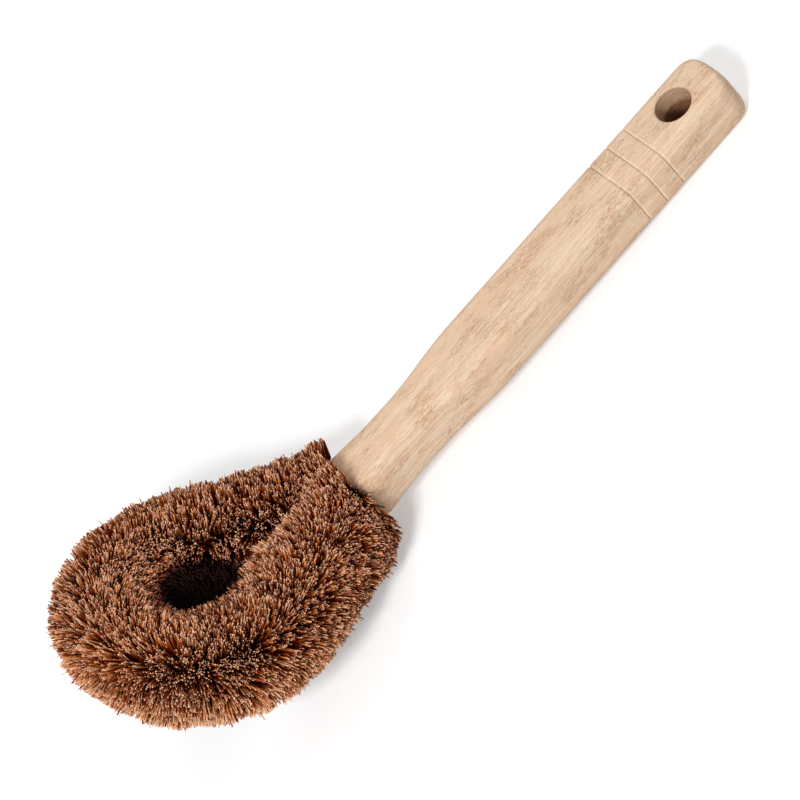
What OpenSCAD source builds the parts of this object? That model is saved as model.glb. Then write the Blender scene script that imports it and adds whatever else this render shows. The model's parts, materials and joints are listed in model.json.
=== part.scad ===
// Coconut fibre pot brush, in millimetres.
// A wooden handle holds one folded and twisted wire. The wire is bent into a teardrop loop and
// clamps the coconut fibres, which are trimmed to a round pile. The two arms of the loop press
// together next to the handle and part to leave an eye. The head is pitched up from the handle.
// Everything is first made in the handle's own frame: the handle's mouth at x = 0, its free end
// at +x, its hanging hole along z, and the head towards -x. At the end the brush is leaned
// until the free end and the underside of the pile touch the floor together.

/* [Handle] */
// Length of the wooden handle
handle_length = 169.1; // [140:0.1:200]
// Width of the grip across the hanging hole's axis
grip_width = 22.7; // [18:0.1:30]
// Thickness along the hanging hole's axis
handle_thickness = 17.7; // [14:0.1:24]
// Width at the narrowest place of the waist
waist_width = 18.2; // [14:0.1:24]
// Width at the mouth, where the wire goes in
mouth_width = 21.4; // [16:0.1:26]
// Radius of the four long edges
long_edge_radius = 4.4; // [2:0.1:6]
// Where the waist is at its narrowest, from the mouth
waist_from = 19.7; // [8:0.1:30]
// How long the narrowest stretch is
waist_stretch = 9; // [2:0.5:30]
// How long the waist takes to widen to the grip
waist_run = 28; // [10:0.5:60]
// Rounding of the mouth end
mouth_round = 3.7; // [1:0.1:5]
// Corner radius of the free end, seen along the hanging hole
end_corner = 6.4; // [3:0.1:9]
// Rounding of the free end's other edges
end_round = 3.6; // [1:0.1:5]

/* [Grooves] */
// First groove, from the mouth
groove_from = 122.3; // [80:0.1:140]
// Distance from one groove to the next
groove_spacing = 7.65; // [4:0.05:12]
// How many grooves run round the grip
groove_count = 3; // [1:1:4]
// Width of a groove
groove_width = 0.9; // [0.5:0.1:2]
// Depth of a groove
groove_depth = 0.35; // [0.2:0.05:1]

/* [Hanging hole] */
// Diameter of the hanging hole
hole_diameter = 12.4; // [6:0.1:14]
// Middle of the hanging hole, from the free end
hole_from_end = 16.6; // [12:0.1:30]

/* [Wire] */
// Diameter of one strand; two are twisted together
strand_diameter = 1.6; // [1:0.05:2.2]
// Length of one full twist
twist_length = 17; // [10:0.5:30]
// How far the wire goes into the handle
insert_depth = 42; // [20:1:60]

/* [Loop] */
// Half the distance between the two arms of the wire at the handle
arm_offset = 2.7; // [2.2:0.05:4]
// Where the two arms begin to part, from the mouth
parting = 1.5; // [1.5:0.1:12]
// Bend radius where the arms part
parting_radius = 6; // [4:0.5:20]
// Angle of each arm to the middle of the loop
opening_angle = 26.4; // [16:0.1:32]
// Radius of the wire's big bend
loop_radius = 28.7; // [24:0.1:36]
// How far the head is pitched up from the handle
head_pitch = 18.3; // [2:0.1:25]
// Length over which it comes up
pitch_run = 20; // [10:0.5:40]
// Radius of the slight upward curl of the rest
curl_radius = 510; // [300:10:2000]

/* [Pile] */
// Radius of the trimmed pile round its wire
pile_radius = 18.2; // [14:0.1:22]
// Depth of the partings between tufts
tuft_depth = 5.4; // [3:0.1:7]
// How unevenly the tufts are trimmed
tuft_uneven = 1; // [0:0.1:2]
// How far the tufts wander from even rows, as a share of a tuft
tuft_wander = 0.26; // [0:0.01:0.3]
// Tufts along each arm
arm_tufts = 20; // [10:1:26]
// Tufts along half of the big bend
bend_tufts = 20; // [10:1:24]

/* [Clearances] */
// Between the pile and what it sits against
soft_gap = 0.3; // [0.2:0.05:0.5]
// Between the wire and the wall of its socket
socket_gap = 0.15; // [0.1:0.05:0.4]
// Between the two pressed arms of the pile
arm_gap = 0.4; // [0.2:0.05:1]

/* [Hidden] */
eps = 0.01;
degree = 3.14159265358979 / 180;

// Handle: half width, half thickness and edge radius at each station.
half_width = grip_width / 2;
half_thick = handle_thickness / 2;
function ease(t) = let (c = max(0, min(1, t))) c * c * (3 - 2 * c);
function mix(a, b, t) = a + (b - a) * t;
function side_at(x) = x < waist_from + waist_stretch / 2
    ? mix(mouth_width / 2, waist_width / 2, ease(x / waist_from))
    : mix(waist_width / 2, half_width, ease((x - waist_from - waist_stretch) / waist_run));
// How much a rounded end takes off at a distance d in from its face.
function round_off(d, r) = d >= r ? 0 : r - sqrt(max(0, r * r - (r - d) * (r - d)));
function groove_at(x) = max([for (i = [0:groove_count - 1])
    max(0, 1 - abs(x - groove_from - i * groove_spacing) / (groove_width / 2))]) * groove_depth;
function half_w(x) = side_at(x) - round_off(x, mouth_round)
    - round_off(handle_length - x, end_corner) - groove_at(x);
function half_t(x) = half_thick - round_off(x, mouth_round)
    - round_off(handle_length - x, end_round) - groove_at(x);

end_steps = 5;
waist_steps = 9;
grip_from = waist_from + waist_stretch + waist_run;
stations = concat(
    [for (i = [0:end_steps - 1]) mouth_round * (1 - cos(90 * i / end_steps))],
    [for (i = [0:3]) mix(mouth_round, waist_from, i / 4)],
    [for (i = [0:waist_steps]) mix(waist_from, grip_from, i / waist_steps)],
    [for (g = [0:groove_count - 1]) for (e = [-0.5, 0, 0.5])
        groove_from + g * groove_spacing + e * groove_width],
    [for (i = [0:end_steps + 1]) handle_length - end_corner * (1 - sin(90 * i / (end_steps + 1)))]);
corner_steps = 5;
corner_points = corner_steps + 1;
ring_points = 4 * corner_points;
// One section: four rounded corners, going round the x axis.
function section_at(x) = let (
        a = half_w(x), b = half_t(x),
        r = min(long_edge_radius, a - eps, b - eps))
    [for (c = [0:3]) for (i = [0:corner_steps])
        let (g = 90 * (c + i / corner_steps),
             sy = (c == 0 || c == 3) ? 1 : -1, sz = c < 2 ? 1 : -1)
        [x, sy * (a - r) + r * cos(g), sz * (b - r) + r * sin(g)]];
handle_points = [for (x = stations) each section_at(x)];
handle_rings = len(stations);
handle_faces = concat(
    [[for (j = [0:ring_points - 1]) j]],
    [for (i = [0:handle_rings - 2]) for (j = [0:ring_points - 1])
        let (k = (j + 1) % ring_points, p = i * ring_points, q = p + ring_points)
        each [[p + j, q + j, q + k], [p + j, q + k, p + k]]],
    [[for (j = [ring_points - 1:-1:0]) (handle_rings - 1) * ring_points + j]]);

// Loop: [s, l, yaw] at a distance d along one arm from the mouth. s runs along the middle of
// the loop, l across it, and yaw is the arm's heading. Past the parting it is a line, then the
// big bend, whose middle stands at bend_middle.
bend_middle = parting + (loop_radius - arm_offset * cos(opening_angle)) / sin(opening_angle);
parting_tangent = parting_radius * tan(opening_angle / 2);
fillet_from = parting - parting_tangent;
line_from = fillet_from + parting_radius * opening_angle * degree;
line_length = (bend_middle - parting) * cos(opening_angle) - arm_offset * sin(opening_angle)
    - parting_tangent;
bend_from = line_from + line_length;
tip_at = bend_from + loop_radius * (90 + opening_angle) * degree;
function loop_at(d) =
    d <= fillet_from ? [d, arm_offset, 0] :
    d <= line_from ? let (a = (d - fillet_from) / parting_radius / degree)
        [fillet_from + parting_radius * sin(a), arm_offset + parting_radius * (1 - cos(a)), a] :
    d <= bend_from ? let (t = d - line_from + parting_tangent)
        [parting + t * cos(opening_angle), arm_offset + t * sin(opening_angle), opening_angle] :
    let (a = (d - bend_from) / loop_radius / degree, g = 90 + opening_angle - a)
        [bend_middle + loop_radius * cos(g), loop_radius * sin(g), opening_angle - a];

// Spine of the head in the upright plane: [forward, up] and its slope at s.
pitch_radius = pitch_run / (head_pitch * degree);
function slope_at(s) = s <= 0 ? 0 : s <= pitch_run ? head_pitch * s / pitch_run
    : head_pitch + (s - pitch_run) / curl_radius / degree;
function spine_at(s) = s <= 0 ? [s, 0] :
    let (f = slope_at(s), r = pitch_radius)
    s <= pitch_run ? [r * sin(f), r * (1 - cos(f))] :
    [r * sin(head_pitch), r * (1 - cos(head_pitch))]
        + curl_radius * [sin(f) - sin(head_pitch), cos(head_pitch) - cos(f)];
// A place on the loop in the handle's frame; side is 1 for the front arm and -1 for the back.
function place_at(c, side) = let (q = spine_at(c[0])) [-q[0], -side * c[1], q[1]];
// The two directions across an arm: inwards to the loop's middle, and up.
function inward(yaw, slope, side) = [-sin(yaw) * cos(slope), side * cos(yaw), sin(yaw) * sin(slope)];
function upward(slope) = [sin(slope), 0, cos(slope)];

// Wire: a flat-sided pair of lobes that turns as it runs, from one end of the socket round
// the loop and back to the other.
wire_radius = strand_diameter;
wire_step = 1.7;
socket_steps = ceil(insert_depth / wire_step / 2);
loop_steps = ceil(tip_at / wire_step);
wire_half = concat(
    [for (i = [0:socket_steps - 1]) -insert_depth * (1 - i / socket_steps)],
    [for (i = [0:loop_steps]) tip_at * i / loop_steps]);
wire_count = len(wire_half);
lobe = [[1, 0], [0.5, 0.5], [-0.5, 0.5], [-1, 0], [-0.5, -0.5], [0.5, -0.5]] * wire_radius;
function wire_ring(d, side) = let (
        c = loop_at(d), o = place_at(c, side), f = slope_at(c[0]),
        m = inward(c[2], f, side), b = upward(f), g = side * 360 * (d - tip_at) / twist_length)
    [for (v = lobe) o + (v[0] * cos(g) - v[1] * sin(g)) * m + (v[0] * sin(g) + v[1] * cos(g)) * b];
wire_points = concat(
    [for (i = [0:wire_count - 1]) each wire_ring(wire_half[i], 1)],
    [for (i = [wire_count - 2:-1:0]) each wire_ring(wire_half[i], -1)]);
wire_rings = 2 * wire_count - 1;
wire_faces = tube_faces(wire_rings, 6, 0);
// Faces of a closed tube of n rings of k points, whose first point is number p.
function tube_faces(n, k, p) = concat(
    [[for (j = [k - 1:-1:0]) p + j]], wall_faces(n, k, p, false),
    [[for (j = [0:k - 1]) p + (n - 1) * k + j]]);
function wall_faces(n, k, p, inside) = [for (i = [0:n - 2]) for (j = [0:k - 1])
    let (a = p + i * k + j, b = p + i * k + (j + 1) % k, c = a + k, e = b + k)
    each inside ? [[a, c, e], [a, e, b]] : [[a, e, c], [a, b, e]]];

// Pile: rings of valleys round the wire, with one peak standing in each cell between them.
pile_from = soft_gap;
fan_to = 20;
round_tufts = 28;
core_radius = pile_radius - tuft_depth;
// How much of a tuft's depth stays full round the end faces.
end_fill = 0.8;
pile_half = concat(
    [for (i = [0:arm_tufts - 1]) mix(pile_from, bend_from, i / arm_tufts)],
    [for (i = [0:bend_tufts]) mix(bend_from, tip_at, i / bend_tufts)]);
half_cells = arm_tufts + bend_tufts;
cells = 2 * half_cells;
function ring_yaw(d, c) = d < fan_to
    ? opening_angle * max(0, d - pile_from) / (fan_to - pile_from) : c[2];
// A point of the pile at distance d, angle g and radius r, kept on its own side of the seam.
function pile_point(d, side, g, r) = let (
        c = loop_at(d), o = place_at(c, side), y = ring_yaw(d, c), f = slope_at(c[0]),
        toward = cos(g) * cos(y),
        room = (d < bend_from && toward > eps) ? (c[1] - arm_gap / 2) / toward : r,
        q = min(r, room))
    o + q * (cos(g) * inward(y, f, side) + sin(g) * upward(f));
// Uneven trimming, the same on both arms so that the brush stays balanced.
seed_count = (half_cells + 1) * round_tufts;
valley_noise = rands(-1, 1, seed_count, 11);
peak_noise = rands(-1, 1, seed_count, 23);
along_noise = rands(-1, 1, seed_count, 37);
round_noise = rands(-1, 1, seed_count, 53);
function valley_ring(i) = let (
        h = min(i, cells - i), side = i <= half_cells ? 1 : -1, d = pile_half[h])
    [for (j = [0:round_tufts - 1]) pile_point(d, side, 360 * j / round_tufts,
        core_radius + tuft_uneven * valley_noise[h * round_tufts + j]
            + (h == 0 ? tuft_depth * end_fill : 0))];
function peak_ring(i) = let (
        h = min(i, cells - 1 - i), side = i < half_cells ? 1 : -1,
        d0 = pile_half[h], d1 = pile_half[h + 1])
    [for (j = [0:round_tufts - 1]) let (n = h * round_tufts + j)
        pile_point(mix(d0, d1, 0.5 + tuft_wander * along_noise[n]), side,
            360 * (j + 0.5 + tuft_wander * round_noise[n]) / round_tufts,
            pile_radius - tuft_uneven * (0.5 + 0.5 * peak_noise[n]))];
valley_points = [for (i = [0:cells]) each valley_ring(i)];
peak_points = [for (i = [0:cells - 1]) each peak_ring(i)];
peak_first = len(valley_points);
// The channel that the wire runs in, with its flats most of a soft gap off the wire.
channel_sides = 7;
channel_share = 0.85;
channel_radius = (wire_radius + soft_gap * channel_share) / cos(180 / channel_sides);
parting_steps = 5;
channel_steps = 26;
channel_half = concat(
    [for (i = [0:parting_steps - 1]) mix(pile_from, line_from, i / parting_steps)],
    [for (i = [0:channel_steps - parting_steps])
        mix(line_from, tip_at, i / (channel_steps - parting_steps))]);
channel_rings = 2 * channel_steps + 1;
function channel_ring(i) = let (
        h = min(i, 2 * channel_steps - i), side = i <= channel_steps ? 1 : -1,
        d = channel_half[h])
    [for (j = [0:channel_sides - 1])
        pile_point(d, side, 360 * (j + 0.5) / channel_sides, channel_radius)];
channel_points = [for (i = [0:channel_rings - 1]) each channel_ring(i)];
channel_first = peak_first + len(peak_points);
fan = round_tufts / channel_sides;
// One end face: the outer ring p joined to the channel ring q.
function end_faces(p, q, flip) = [for (j = [0:round_tufts - 1]) let (
        k = (j + 1) % round_tufts, m = floor(j / fan), n = (m + 1) % channel_sides,
        t = [p + j, p + k, q + m], u = [p + k, q + n, q + m])
    each concat([flip ? [t[0], t[2], t[1]] : t],
        j % fan == fan - 1 ? [flip ? [u[0], u[2], u[1]] : u] : [])];
pile_faces = concat(
    [for (i = [0:cells - 1]) for (j = [0:round_tufts - 1]) let (
            k = (j + 1) % round_tufts, a = i * round_tufts + j, b = i * round_tufts + k,
            c = a + round_tufts, e = b + round_tufts, t = peak_first + a)
        each [[a, b, t], [b, e, t], [e, c, t], [c, a, t]]],
    wall_faces(channel_rings, channel_sides, channel_first, true),
    end_faces(0, channel_first, true),
    end_faces(cells * round_tufts, channel_first + (channel_rings - 1) * channel_sides, false));

// Rest: the lean at which the free end and the pile touch the floor together, found in steps.
function height(p, b) = -p[0] * sin(b) + p[2] * cos(b);
function reach(p, b) = p[0] * cos(b) + p[2] * sin(b);
function lowest(points, b) = min([for (p = points) height(p, b)]);
function level(b, left) = left == 0 ? b : let (
        lift = lowest(handle_points, b) - lowest(peak_points, b))
    level(b + asin(max(-0.9, min(0.9, lift / handle_length))), left - 1);
first_lean = 3;
lean_steps = 5;
lean = level(first_lean, lean_steps);
all_points = concat(handle_points, peak_points, valley_points);
floor_z = lowest(all_points, lean);
near_x = min([for (p = all_points) reach(p, lean)]);
far_x = max([for (p = all_points) reach(p, lean)]);
rest_shift = [-(near_x + far_x) / 2, 0, -floor_z];
module rest() {
    translate(rest_shift) rotate([0, lean, 0]) children();
}

socket_radius = arm_offset + wire_radius + socket_gap;
hole_x = handle_length - hole_from_end;

// The wooden handle with its socket and its hanging hole.
module handle() {
    color([0.87, 0.74, 0.58]) rest() difference() {
        polyhedron(points = handle_points, faces = handle_faces, convexity = 6);
        translate([hole_x, 0, -handle_thickness])
            cylinder(h = 2 * handle_thickness, d = hole_diameter, $fn = 96);
        translate([-1, 0, 0]) rotate([0, 90, 0])
            cylinder(h = insert_depth + 1, r = socket_radius, $fn = 64);
    }
}

// The folded and twisted wire, from the socket round the loop and back.
module twisted_wire() {
    color([0.66, 0.67, 0.68]) rest()
        polyhedron(points = wire_points, faces = wire_faces, convexity = 8);
}

// The trimmed pile of coconut fibre.
module coir_bristles() {
    color([0.47, 0.27, 0.16]) rest() polyhedron(
        points = concat(valley_points, peak_points, channel_points),
        faces = pile_faces, convexity = 10);
}

echo(lean = lean, rest_shift = rest_shift, size = [far_x - near_x, 0, 0],
    triangles = [len(handle_faces), len(wire_faces), len(pile_faces)], pile_from = pile_from,
    bend_middle = bend_middle, bend_from = bend_from, tip_at = tip_at);

handle();
twisted_wire();
coir_bristles();
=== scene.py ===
"""Coconut fibre pot brush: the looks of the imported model.

A pale wooden handle, a folded and twisted wire, and a round pile of trimmed coconut fibre bent
into a teardrop loop. Sizes are in millimetres in the handle's own frame: its mouth at x = 0, its
free end at +x, its hanging hole along z and the head towards -x. They reach the row's frame, in
metres, through the hanging hole that the record states.
"""

import json
import logging
import math
from dataclasses import dataclass, field
from enum import Enum

import bmesh
import bpy
import numpy as np
from mathutils import Matrix, Vector


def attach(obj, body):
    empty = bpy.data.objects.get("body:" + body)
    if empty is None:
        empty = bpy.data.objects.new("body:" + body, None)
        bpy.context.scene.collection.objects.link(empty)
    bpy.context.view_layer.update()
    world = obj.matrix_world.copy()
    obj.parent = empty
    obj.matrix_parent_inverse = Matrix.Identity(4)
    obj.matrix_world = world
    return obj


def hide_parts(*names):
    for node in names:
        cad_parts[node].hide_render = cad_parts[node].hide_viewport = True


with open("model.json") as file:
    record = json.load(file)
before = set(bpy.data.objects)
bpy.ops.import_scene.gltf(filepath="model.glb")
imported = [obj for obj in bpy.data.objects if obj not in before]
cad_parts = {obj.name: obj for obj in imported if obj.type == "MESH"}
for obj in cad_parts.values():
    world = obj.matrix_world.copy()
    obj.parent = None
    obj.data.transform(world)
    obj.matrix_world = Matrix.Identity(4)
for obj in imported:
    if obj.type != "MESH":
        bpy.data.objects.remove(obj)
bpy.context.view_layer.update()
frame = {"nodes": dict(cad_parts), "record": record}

Colour = tuple[float, float, float]
Pair = tuple[float, float]
Socket = bpy.types.NodeSocket

MM = 0.001
BLACK: Colour = (0.0, 0.0, 0.0)
WHITE: Colour = (1.0, 1.0, 1.0)
log = logging.getLogger("pot_brush")


class Stretch(Enum):
    """The stretches of the pile that become separate pieces, in their order along the loop."""

    FRONT_ARM = "front_arm"
    FRONT_BEND = "front_bend"
    MIDDLE_BEND = "middle_bend"
    BACK_BEND = "back_bend"
    BACK_ARM = "back_arm"

    @property
    def order(self) -> int:
        """Its number along the loop, from 0."""
        return list(Stretch).index(self)


@dataclass(frozen=True)
class HandleFrame:
    """The handle's own frame as it lies in the row's frame.

    Attributes:
        origin: the middle of the handle's mouth, in metres.
        along: the direction to the free end.
        across: the direction across the brush.
        normal: the direction out of the face that holds the hanging hole.
    """

    origin: np.ndarray
    along: np.ndarray
    across: np.ndarray
    normal: np.ndarray

    @classmethod
    def from_record(cls, record: dict, hole_x: float) -> "HandleFrame":
        """Finds the frame from the record's hanging hole.

        Args:
            record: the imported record.
            hole_x: the hole's distance from the mouth, in millimetres.

        Returns:
            The handle's frame.
        """
        mount = next(m for m in record["mounts"] if m["name"] == "hang_hole")
        normal = np.array(mount["axis"], float)
        normal /= np.linalg.norm(normal)
        along = np.array([normal[2], 0.0, -normal[0]])
        origin = np.array(mount["pos_m"], float) - along * hole_x * MM
        return cls(origin, along, np.array([0.0, 1.0, 0.0]), normal)

    @property
    def axes(self) -> np.ndarray:
        """The three directions, one to a row."""
        return np.stack([self.along, self.across, self.normal])

    def place(self, points: np.ndarray) -> np.ndarray:
        """Takes points in millimetres in this frame to metres in the row's frame."""
        return self.origin + (np.asarray(points, float) * MM) @ self.axes

    def turn(self, directions: np.ndarray) -> np.ndarray:
        """Turns directions from this frame to the row's frame, lengths kept."""
        return np.asarray(directions, float) @ self.axes


def ease(t: np.ndarray) -> np.ndarray:
    """A smooth step from 0 to 1."""
    c = np.clip(t, 0.0, 1.0)
    return c * c * (3.0 - 2.0 * c)


def fade(value: np.ndarray, start: float, end: float) -> np.ndarray:
    """A smooth step that is 0 at start and 1 at end, which may be the lower of the two."""
    return ease((value - start) / (end - start))


def new_mesh_object(name: str, points: np.ndarray, faces: list) -> bpy.types.Object:
    """Makes a mesh object at the origin and links it.

    Args:
        name: the piece's name.
        points: its vertices in metres in the row's frame.
        faces: its faces as lists of vertex numbers.

    Returns:
        The new object.
    """
    mesh = bpy.data.meshes.new(name)
    mesh.from_pydata([tuple(p) for p in points], [], faces)
    mesh.validate()
    piece = bpy.data.objects.new(name, mesh)
    bpy.context.scene.collection.objects.link(piece)
    return piece


def settle(piece: bpy.types.Object) -> None:
    """Turns a piece's modifiers into its own plain mesh and removes them.

    Args:
        piece: the object whose modifiers are done.
    """
    graph = bpy.context.evaluated_depsgraph_get()
    made = bpy.data.meshes.new_from_object(
        piece.evaluated_get(graph), preserve_all_data_layers=True, depsgraph=graph
    )
    piece.modifiers.clear()
    piece.data = made


def outwards(mesh: bpy.types.Mesh) -> None:
    """Turns a closed mesh's faces outwards.

    Args:
        mesh: the mesh, changed in place.
    """
    work = bmesh.new()
    work.from_mesh(mesh)
    bmesh.ops.recalc_face_normals(work, faces=work.faces)
    work.to_mesh(mesh)
    work.free()


def wrap_rings(rings: int, sides: int) -> list:
    """Faces of a closed tube whose vertices run ring by ring.

    Args:
        rings: how many rings it has.
        sides: how many vertices each ring has.

    Returns:
        The faces, with both ends capped.
    """
    faces = []
    for i in range(rings - 1):
        for j in range(sides):
            k = (j + 1) % sides
            faces.append((i * sides + j, i * sides + k, (i + 1) * sides + k, (i + 1) * sides + j))
    faces.append(tuple(reversed(range(sides))))
    faces.append(tuple(range((rings - 1) * sides, rings * sides)))
    return faces


def store(mesh: bpy.types.Mesh, name: str, kind: str, values: np.ndarray) -> None:
    """Writes one value for each vertex of a mesh.

    Args:
        mesh: the mesh.
        name: the attribute's name.
        kind: its type, FLOAT or FLOAT_VECTOR.
        values: the values, one to a vertex.
    """
    layer = mesh.attributes.new(name, kind, "POINT")
    layer.data.foreach_set("vector" if kind == "FLOAT_VECTOR" else "value",
                           np.ascontiguousarray(values, dtype=np.float32).ravel())


def dress(piece: bpy.types.Object, material: bpy.types.Material) -> None:
    """Gives a piece its one material."""
    piece.data.materials.clear()
    piece.data.materials.append(material)


class Nodes:
    """A shorthand for laying out the nodes of one tree."""

    def __init__(self, tree: bpy.types.NodeTree) -> None:
        """Keeps the tree."""
        self.tree = tree

    def add(self, kind: str, **settings: object) -> bpy.types.Node:
        """Adds a node.

        Args:
            kind: the node's type name.
            **settings: its plain properties and their values.

        Returns:
            The new node.
        """
        node = self.tree.nodes.new(kind)
        for name, value in settings.items():
            setattr(node, name, value)
        return node

    def link(self, source: Socket, target: Socket) -> None:
        """Joins an output socket to an input socket."""
        self.tree.links.new(source, target)

    def feed(self, socket: Socket, value: object) -> None:
        """Gives an input socket its value.

        Args:
            socket: the input socket.
            value: another node's socket, a number or a colour.
        """
        if isinstance(value, bpy.types.NodeSocket):
            self.link(value, socket)
        elif isinstance(value, tuple):
            socket.default_value = (*value, 1.0)
        else:
            socket.default_value = value

    def math(self, operation: str, *values: object) -> Socket:
        """Does one sum.

        Args:
            operation: the sum's name.
            *values: sockets or numbers.

        Returns:
            Its result.
        """
        node = self.add("ShaderNodeMath", operation=operation)
        for socket, value in zip(node.inputs, values):
            self.feed(socket, value)
        return node.outputs[0]

    def clip(self, value: Socket, low: float, high: float) -> Socket:
        """Keeps a value between two limits."""
        return self.math("MINIMUM", self.math("MAXIMUM", value, low), high)

    def ramp(self, factor: Socket, stops: tuple) -> Socket:
        """Adds a colour ramp.

        Args:
            factor: what runs along it.
            stops: its (place, colour) pairs.

        Returns:
            Its colour.
        """
        node = self.add("ShaderNodeValToRGB")
        self.feed(node.inputs["Fac"], factor)
        elements = node.color_ramp.elements
        while len(elements) < len(stops):
            elements.new(0.5)
        for element, (place, colour) in zip(elements, stops):
            element.position = place
            element.color = (*colour, 1.0)
        return node.outputs["Color"]

    def rise(self, factor: Socket, start: float, end: float) -> Socket:
        """A ramp from black at start to white at end."""
        return self.ramp(factor, ((start, BLACK), (end, WHITE)))

    def fall(self, factor: Socket, start: float, end: float) -> Socket:
        """A ramp from white at start to black at end."""
        return self.ramp(factor, ((start, WHITE), (end, BLACK)))

    def noise(self, coordinates: Socket, detail: float, rough: float) -> Socket:
        """Adds a noise pattern.

        Args:
            coordinates: where it is read.
            detail: how many finer layers it has.
            rough: how strong the finer layers are.

        Returns:
            Its factor.
        """
        node = self.add("ShaderNodeTexNoise")
        self.link(coordinates, node.inputs["Vector"])
        node.inputs["Scale"].default_value = 1.0
        node.inputs["Detail"].default_value = detail
        node.inputs["Roughness"].default_value = rough
        return node.outputs["Fac"]

    def mix(self, factor: object, a: object, b: object, blend: str = "MIX") -> Socket:
        """Mixes two colours.

        Args:
            factor: how much of the second there is.
            a: the first colour.
            b: the second colour.
            blend: how they mix.

        Returns:
            The mixed colour.
        """
        node = self.add("ShaderNodeMix", data_type="RGBA", blend_type=blend)
        self.feed(node.inputs[0], factor)
        self.feed(node.inputs[6], a)
        self.feed(node.inputs[7], b)
        return node.outputs[2]


def start_material(name: str, roughness: float, specular: float) -> tuple:
    """Makes a material with one Principled shader.

    Args:
        name: the material's name.
        roughness: its roughness.
        specular: its specular level.

    Returns:
        The material, its node helper and its shader node.
    """
    material = bpy.data.materials.new(name)
    material.use_nodes = True
    shader = material.node_tree.nodes["Principled BSDF"]
    shader.inputs["Roughness"].default_value = roughness
    shader.inputs["Specular IOR Level"].default_value = specular
    return material, Nodes(material.node_tree), shader


@dataclass(frozen=True)
class Figure:
    """A noise pattern in the wood, drawn out along the grain.

    Attributes:
        along: its scale along the grain.
        across: its scale across the grain.
        detail: how many finer layers it has.
        rough: how strong the finer layers are.
    """

    along: float
    across: float
    detail: float
    rough: float


@dataclass(frozen=True)
class Grain:
    """The wood's own coordinates, in millimetres in the handle's frame.

    Attributes:
        nodes: the material's node helper.
        x: the place along the grain.
        y: the place across the handle.
        z: the place up from the handle's middle.
    """

    nodes: Nodes
    x: Socket
    y: Socket
    z: Socket

    @classmethod
    def along_handle(cls, n: Nodes, place: HandleFrame) -> "Grain":
        """Turns Object coordinates into the handle's frame.

        Args:
            n: the material's node helper.
            place: the handle's frame.

        Returns:
            The grain's coordinates.
        """
        where = n.add("ShaderNodeTexCoord")
        shift = n.add("ShaderNodeVectorMath", operation="SUBTRACT")
        n.link(where.outputs["Object"], shift.inputs[0])
        shift.inputs[1].default_value = tuple(place.origin)
        lines = []
        for axis in place.axes:
            dot = n.add("ShaderNodeVectorMath", operation="DOT_PRODUCT")
            n.link(shift.outputs[0], dot.inputs[0])
            dot.inputs[1].default_value = tuple(axis)
            lines.append(n.math("MULTIPLY", dot.outputs["Value"], 1.0 / MM))
        return cls(n, *lines)

    def stretched(self, along: float, across: float, drift: Socket | None = None) -> Socket:
        """Coordinates squeezed by different amounts along and across the grain.

        Args:
            along: the scale along the grain.
            across: the scale across it.
            drift: how far the grain's lines stray sideways, if they do.

        Returns:
            The coordinates for a pattern.
        """
        n = self.nodes
        node = n.add("ShaderNodeCombineXYZ")
        n.link(n.math("MULTIPLY", self.x, along), node.inputs[0])
        for index, axis in enumerate((self.y, self.z), start=1):
            strayed = axis if drift is None else n.math("ADD", axis, drift)
            n.link(n.math("MULTIPLY", strayed, across), node.inputs[index])
        return node.outputs[0]

    def pattern(self, figure: Figure, drift: Socket | None = None) -> Socket:
        """Lays a figure in the wood.

        Args:
            figure: the figure's scales and layers.
            drift: how far the grain's lines stray sideways, if they do.

        Returns:
            The pattern's factor.
        """
        where = self.stretched(figure.along, figure.across, drift)
        return self.nodes.noise(where, figure.detail, figure.rough)


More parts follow.
